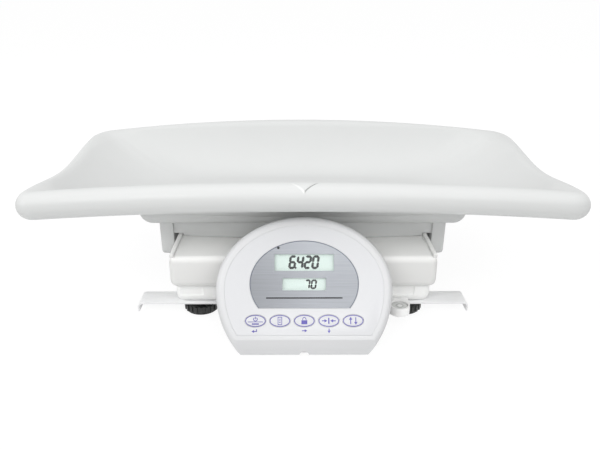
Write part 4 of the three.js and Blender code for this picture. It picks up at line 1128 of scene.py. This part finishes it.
def front_shell():
    body = arch("display_face_shell", SHELL, SEAM, 0)
    bevel(body, 6, 8, level(0))
    to_front_and_bottom(body)
    bevel(body, 1, 4, above_front_wall)
    room = arch("room", SHELL, SEAM - 1, FACE_BACK, HEAD_WALL)
    bevel(room, 3, 4, level(FACE_BACK))
    to_front_and_bottom(room, HEAD_WALL)
    cut(body, room, film("film_recess", -1, 2, FILM_INSET - 0.25), arch("lens_recess", PANEL, -2.4, 2, 2))
    cut(body, *lcd_openings(0.5, -5, 2), *key_holes(0.3, -5, 2))
    cut(body, led_hole(-5, 2))
    notch = disc("notch", 4.8, -2, 4.4, sides=32)
    notch.data.transform(
        Matrix.Rotation(-HEAD_TILT, 4, "X")
        @ Matrix.Translation((0, 0, 2 - HEAD_HEIGHT))
        @ Matrix.Rotation(math.radians(-90), 4, "X")
    )
    return cut(body, notch)


def rear_shell():
    body = arch("display_back_shell", SHELL, BACK, SEAM - 0.3)
    bevel(body, 12, 12, level(BACK))
    to_front_and_bottom(body)
    room = arch("room", SHELL, BACK + HEAD_WALL, SEAM + 1, HEAD_WALL)
    bevel(room, 9.6, 8, level(BACK + HEAD_WALL))
    to_front_and_bottom(room, HEAD_WALL)
    cut(body, room)
    for side in (-1, 1):
        at = (side * SHELL_SCREW[0], SHELL_SCREW[1])
        weld(body, disc("boss", 5, BACK + 1, SEAM - 0.3, *at, sides=40))
        cut(
            body,
            disc("hole", 2, BACK - 1, SEAM + 1, *at, sides=24),
            disc("sink", 3.6, BACK - 1, BACK + 2.4, *at, sides=32),
        )
    for y in range(85, 110, 5):
        vent = block("vent", (-22, 22), (y - 1, y + 1), (BACK - 1, BACK + 4))
        bevel(vent, 0.95, 4, upright)
        cut(body, vent)
    return body


seat(front_shell(), HEAD, "display_plastic", "base", "display_front_shell")
seat(rear_shell(), HEAD, "display_plastic", "base", "display_rear_shell")

overlay = film("keypad_face_film", *FILM_Z, FILM_INSET - 0.15)
cut(overlay, arch("opening", PANEL, -2, 2, -0.3), *key_holes(0.3, -2, 2))
seat(overlay, HEAD, "keypad_film", "base", "keypad_overlay")

plate = arch("silver_face", PANEL, FILM_Z[0], PANEL_PRINT[0])
cut(plate, *lcd_openings(0, -2, 2), led_hole(-2, 2))
seat(plate, HEAD, "silver_film", "base", "silver_panel")

outline = arch("silver_outline", PANEL, *PANEL_PRINT, 0.1)
cut(outline, arch("inside", {**PANEL, "foot": 30}, -1, 1, 0.75))
seat(outline, HEAD, "outline_print", "base")
seat(block("silver_rule", (-39, 39), (41.5, 42.8), PANEL_PRINT), HEAD, "black_print", "base")

clear = cut(arch("clear_window", PANEL, -2.1, -1, 2.3), led_hole(-3, 0))
seat(clear, HEAD, "window", "base", "display_window")


# Numerals of seven segments, leaning, on each display

SEGMENTS = {
    "0": "abcdef", "1": "bc", "2": "abdeg", "3": "abcdg", "4": "bcfg", "5": "acdfg", "6": "acdefg",
    "7": "abc", "8": "abcdefg", "9": "abcdfg",
}


def segment(x, y, length, width, flat):
    """A six-sided bar, pointed at both ends."""
    bar = add("cylinder", "segment", vertices=6, radius=1, depth=NUMERAL_DEPTH)
    for vertex in bar.data.vertices:
        tip = abs(vertex.co.y) > 0.9
        vertex.co.x = math.copysign(width / 2, vertex.co.x) if not tip else 0
        vertex.co.y = math.copysign(length / 2 - (0 if tip else width / 2), vertex.co.y)
    turned = Matrix.Rotation(math.radians(90 if flat else 0), 4, "Z")
    bar.data.transform(Matrix.Translation((x, y, NUMERAL_Z)) @ turned)
    return bar


def numerals(name, text, left, bottom, width, height, pitch, bar):
    """A row of leaning numerals; a point takes no room of its own."""
    bars = []
    cell = left
    half = height / 2
    places = {
        "a": (width / 2, height, True), "b": (width, 1.5 * half, False), "c": (width, 0.5 * half, False),
        "d": (width / 2, 0, True), "e": (0, 0.5 * half, False), "f": (0, 1.5 * half, False),
        "g": (width / 2, half, True),
    }
    for sign in text:
        if sign == ".":
            x = cell - pitch + width + (pitch - width) / 2
            bars.append(segment(x, 0, bar * 1.1, bar, False))
            continue
        for letter in SEGMENTS[sign]:
            x, y, flat = places[letter]
            length = (width if flat else half) + bar * 0.15
            bars.append(segment(cell + x, y, length, bar, flat))
        cell += pitch
    row = merge(name, bars)
    lean = Matrix.Identity(4)
    lean[0][1] = NUMERAL_LEAN
    row.data.transform(Matrix.Translation((0, bottom, 0)) @ lean)
    return row


for lcd in LCDS:
    seat(lcd_block(f"lcd_glass_{lcd}", lcd, 1.4, *LCD_Z), HEAD, "lcd", "base", f"lcd_{lcd}")
for lcd, row in NUMERALS.items():
    seat(numerals(f"{lcd}_numerals", **row), HEAD, "segment", "base")


# Keys: oval caps flush in the film, each with a printed ring and sign; prints are made at height 0

def ring(x, y, half_x, half_y, width, gap=None):
    """A flat oval ring, open where gap(angle) is true."""
    piece = add("circle", "ring", vertices=72, radius=1, fill_type="NOTHING")
    edit(piece)
    bpy.ops.mesh.select_all(action="SELECT")
    resize(half_x, half_y)
    bpy.ops.mesh.extrude_edges_move()
    resize((half_x - width) / half_x, (half_y - width) / half_y)
    if gap:
        bpy.ops.mesh.select_mode(type="FACE")
        pick(piece, "faces", lambda f: gap(math.degrees(math.atan2(middle(f).y, middle(f).x))))
        bpy.ops.mesh.delete(type="FACE")
    done()
    piece.data.transform(Matrix.Translation((x, y, 0)))
    change(piece, "SOLIDIFY", thickness=PRINT_DEPTH, offset=1)
    return turn_out(piece)


def stroke(x0, y0, x1, y1, width):
    """A straight printed line."""
    length = math.hypot(x1 - x0, y1 - y0)
    piece = block("stroke", (-length / 2, length / 2), (-width / 2, width / 2), (0, PRINT_DEPTH))
    turned = Matrix.Rotation(math.atan2(y1 - y0, x1 - x0), 4, "Z")
    piece.data.transform(Matrix.Translation(((x0 + x1) / 2, (y0 + y1) / 2, 0)) @ turned)
    return piece


def arrowhead(x, y, degrees, size):
    """A printed triangle that points along the angle."""
    piece = add("cylinder", "arrowhead", vertices=3, radius=size, depth=PRINT_DEPTH)
    turned = Matrix.Rotation(math.radians(degrees - 90), 4, "Z")
    piece.data.transform(Matrix.Translation((x, y, PRINT_DEPTH / 2)) @ turned)
    return piece


def standby_sign():
    return [
        ring(0, 1.6, 2.3, 2.1, 0.8, gap=lambda a: 55 < a < 125),
        stroke(0, 1.7, 0, 4.3, 0.8),
        stroke(-7.6, -1, 7.6, -1, 0.7),
        stroke(-3.6, -3.1, 3.6, -3.1, 1.3),
    ]


def sheet_sign():
    edges = [(-1.9, -3.7, 1.9, -3.7), (-1.9, 3.7, 1.9, 3.7), (-1.9, -4, -1.9, 4), (1.9, -4, 1.9, 4)]
    lines = [(-0.9, y, 0.9, y) for y in (-1.7, 0, 1.7)]
    return [stroke(*line, 0.7) for line in edges + lines]


def lock_sign():
    shackle = ring(0, 1.1, 2.1, 2.7, 0.7, gap=lambda a: -170 < a < -10)
    return [shackle, stroke(-3, -1.4, 3, -1.4, 4)]


def arrows_to_bar_sign():
    bar = stroke(0, -3, 0, 3, 1.3)
    left = [stroke(-7, 0, -4, 0, 1), arrowhead(-3.4, 0, 0, 2)]
    right = [stroke(4, 0, 7, 0, 1), arrowhead(3.4, 0, 180, 2)]
    return [bar, *left, *right]


def up_and_down_sign():
    up = [stroke(-2.6, -3.4, -2.6, 1.6, 1), arrowhead(-2.6, 2.1, 90, 2)]
    down = [stroke(2.6, -1.6, 2.6, 3.4, 1), arrowhead(2.6, -2.1, 270, 2)]
    return [*up, *down]


KEY_SIGNS = [standby_sign, sheet_sign, lock_sign, arrows_to_bar_sign, up_and_down_sign]

for i, (x, sign) in enumerate(zip(KEY_X, KEY_SIGNS), 1):
    cap = oval(f"key_cap_{i}", *KEY_HALF, KEY_FOOT, KEY_TOP, x, KEY_Y, sides=80)
    bevel(cap, 0.25, 2, level(KEY_TOP))
    flange = oval("flange", *KEY_FLANGE_HALF, KEY_FOOT - 0.4, -3.9, x, KEY_Y, sides=80)
    weld(cap, flange, disc("plunger", 2, -8.3, KEY_FOOT, x, KEY_Y, 24))
    seat(cap, HEAD, "key_film", f"key_{i}", f"key_{i}")
    signs = merge(f"key_sign_{i}", [ring(0, 0, 10.3, 5.9, 0.8), *sign()])
    signs.data.transform(Matrix.Translation((x, KEY_Y, KEY_TOP)))
    seat(signs, HEAD, "indigo_print", f"key_{i}")

# Small arrows on the film, under the keys
hints = merge("keypad_hints", [
    stroke(-51, 8.6, -48.2, 8.6, 0.9),
    stroke(-48.4, 8.2, -48.4, 10.8, 0.9),
    arrowhead(-51.8, 8.6, 180, 1.8),
    stroke(-2.4, 9.2, 0.6, 9.2, 0.9),
    arrowhead(1.2, 9.2, 0, 1.8),
    stroke(25, 9, 25, 11.4, 0.9),
    arrowhead(25, 8.4, 270, 1.8),
])
hints.data.transform(Matrix.Translation((0, 0, FILM_Z[1])))
seat(hints, HEAD, "indigo_print", "base")


# Floor, light and camera

WHITE = (1, 1, 1, 1)


def seen_directly(tree):
    """1 for what the camera sees, straight, mirrored or through something clear."""
    path = put(tree, "ShaderNodeLightPath").outputs
    first = calc(tree, "ADD", path["Is Camera Ray"], path["Is Glossy Ray"])
    return calc(tree, "ADD", first, path["Is Transmission Ray"], use_clamp=True)


def white_ground():
    """Pale floor that the camera sees as near white, with the object's soft shadow kept."""
    material = bpy.data.materials.new("Pale studio floor")
    material.use_nodes = True
    tree = material.node_tree
    tree.nodes.clear()
    diffuse = put(tree, "ShaderNodeBsdfDiffuse", {"Color": (0.74, 0.74, 0.74, 1)}).outputs[0]
    white = put(tree, "ShaderNodeEmission", {"Color": WHITE, "Strength": 1.12}).outputs[0]
    share = calc(tree, "MULTIPLY", seen_directly(tree), 0.8)
    mixed = put(tree, "ShaderNodeMixShader", {0: share, 1: diffuse, 2: white}).outputs[0]
    put(tree, "ShaderNodeOutputMaterial", {"Surface": mixed})
    return material


floor = add("plane", "studio_floor", size=60)
floor.data.materials.append(white_ground())

world = bpy.data.worlds.new("White studio")
bpy.context.scene.world = world
world.use_nodes = True
sky = world.node_tree
sky.nodes.clear()
soft = put(sky, "ShaderNodeBackground", {"Color": WHITE, "Strength": 0.65}).outputs[0]
plain = put(sky, "ShaderNodeBackground", {"Color": WHITE, "Strength": 1}).outputs[0]
both = put(sky, "ShaderNodeMixShader", {0: seen_directly(sky), 1: soft, 2: plain}).outputs[0]
put(sky, "ShaderNodeOutputWorld", {"Surface": both})


def softbox(name, place, power, size=(1.4, 1.0), target=(0, 0, 0.1)):
    """A rectangular lamp that faces its target."""
    data = bpy.data.lights.new(name, "AREA")
    data.shape = "RECTANGLE"
    data.size, data.size_y = size
    data.energy = power
    lamp = bpy.data.objects.new(name, data)
    lamp.location = place
    lamp.rotation_euler = (Vector(target) - Vector(place)).to_track_quat("-Z", "Y").to_euler()
    bpy.context.scene.collection.objects.link(lamp)


softbox("key_softbox", (-1.3, -2.3, 1.95), 24)
softbox("fill_softbox", (1.2, -2.4, 1.75), 16)
softbox("high_softbox", (0.6, -1.7, 2.4), 5)
softbox("side_softbox", (-2.4, -0.5, 0.7), 9, size=(1.0, 0.8))
softbox("near_softbox", (0.04, -0.95, 0.44), 1, size=(0.3, 0.12), target=(0.04, -0.12, 0.08))
softbox("top_softbox", (0.1, 0.1, 2.1), 2, size=(1.8, 1.4))

camera_data = bpy.data.cameras.new("photo_camera")
camera_data.sensor_width = 36
camera_data.lens = CAMERA["lens"]
camera_data.clip_start = 0.01
camera = bpy.data.objects.new("photo_camera", camera_data)
bpy.context.scene.collection.objects.link(camera)
aim = Euler((math.radians(90 - CAMERA["down"]), 0, math.radians(CAMERA["turn"])))
camera.matrix_world = (
    Matrix.Translation(CAMERA["place"])
    @ aim.to_matrix().to_4x4()
    @ Matrix.Rotation(math.radians(CAMERA["roll"]), 4, "Z")
)
bpy.context.scene.camera = camera
bpy.context.scene.view_settings.view_transform = "Standard"
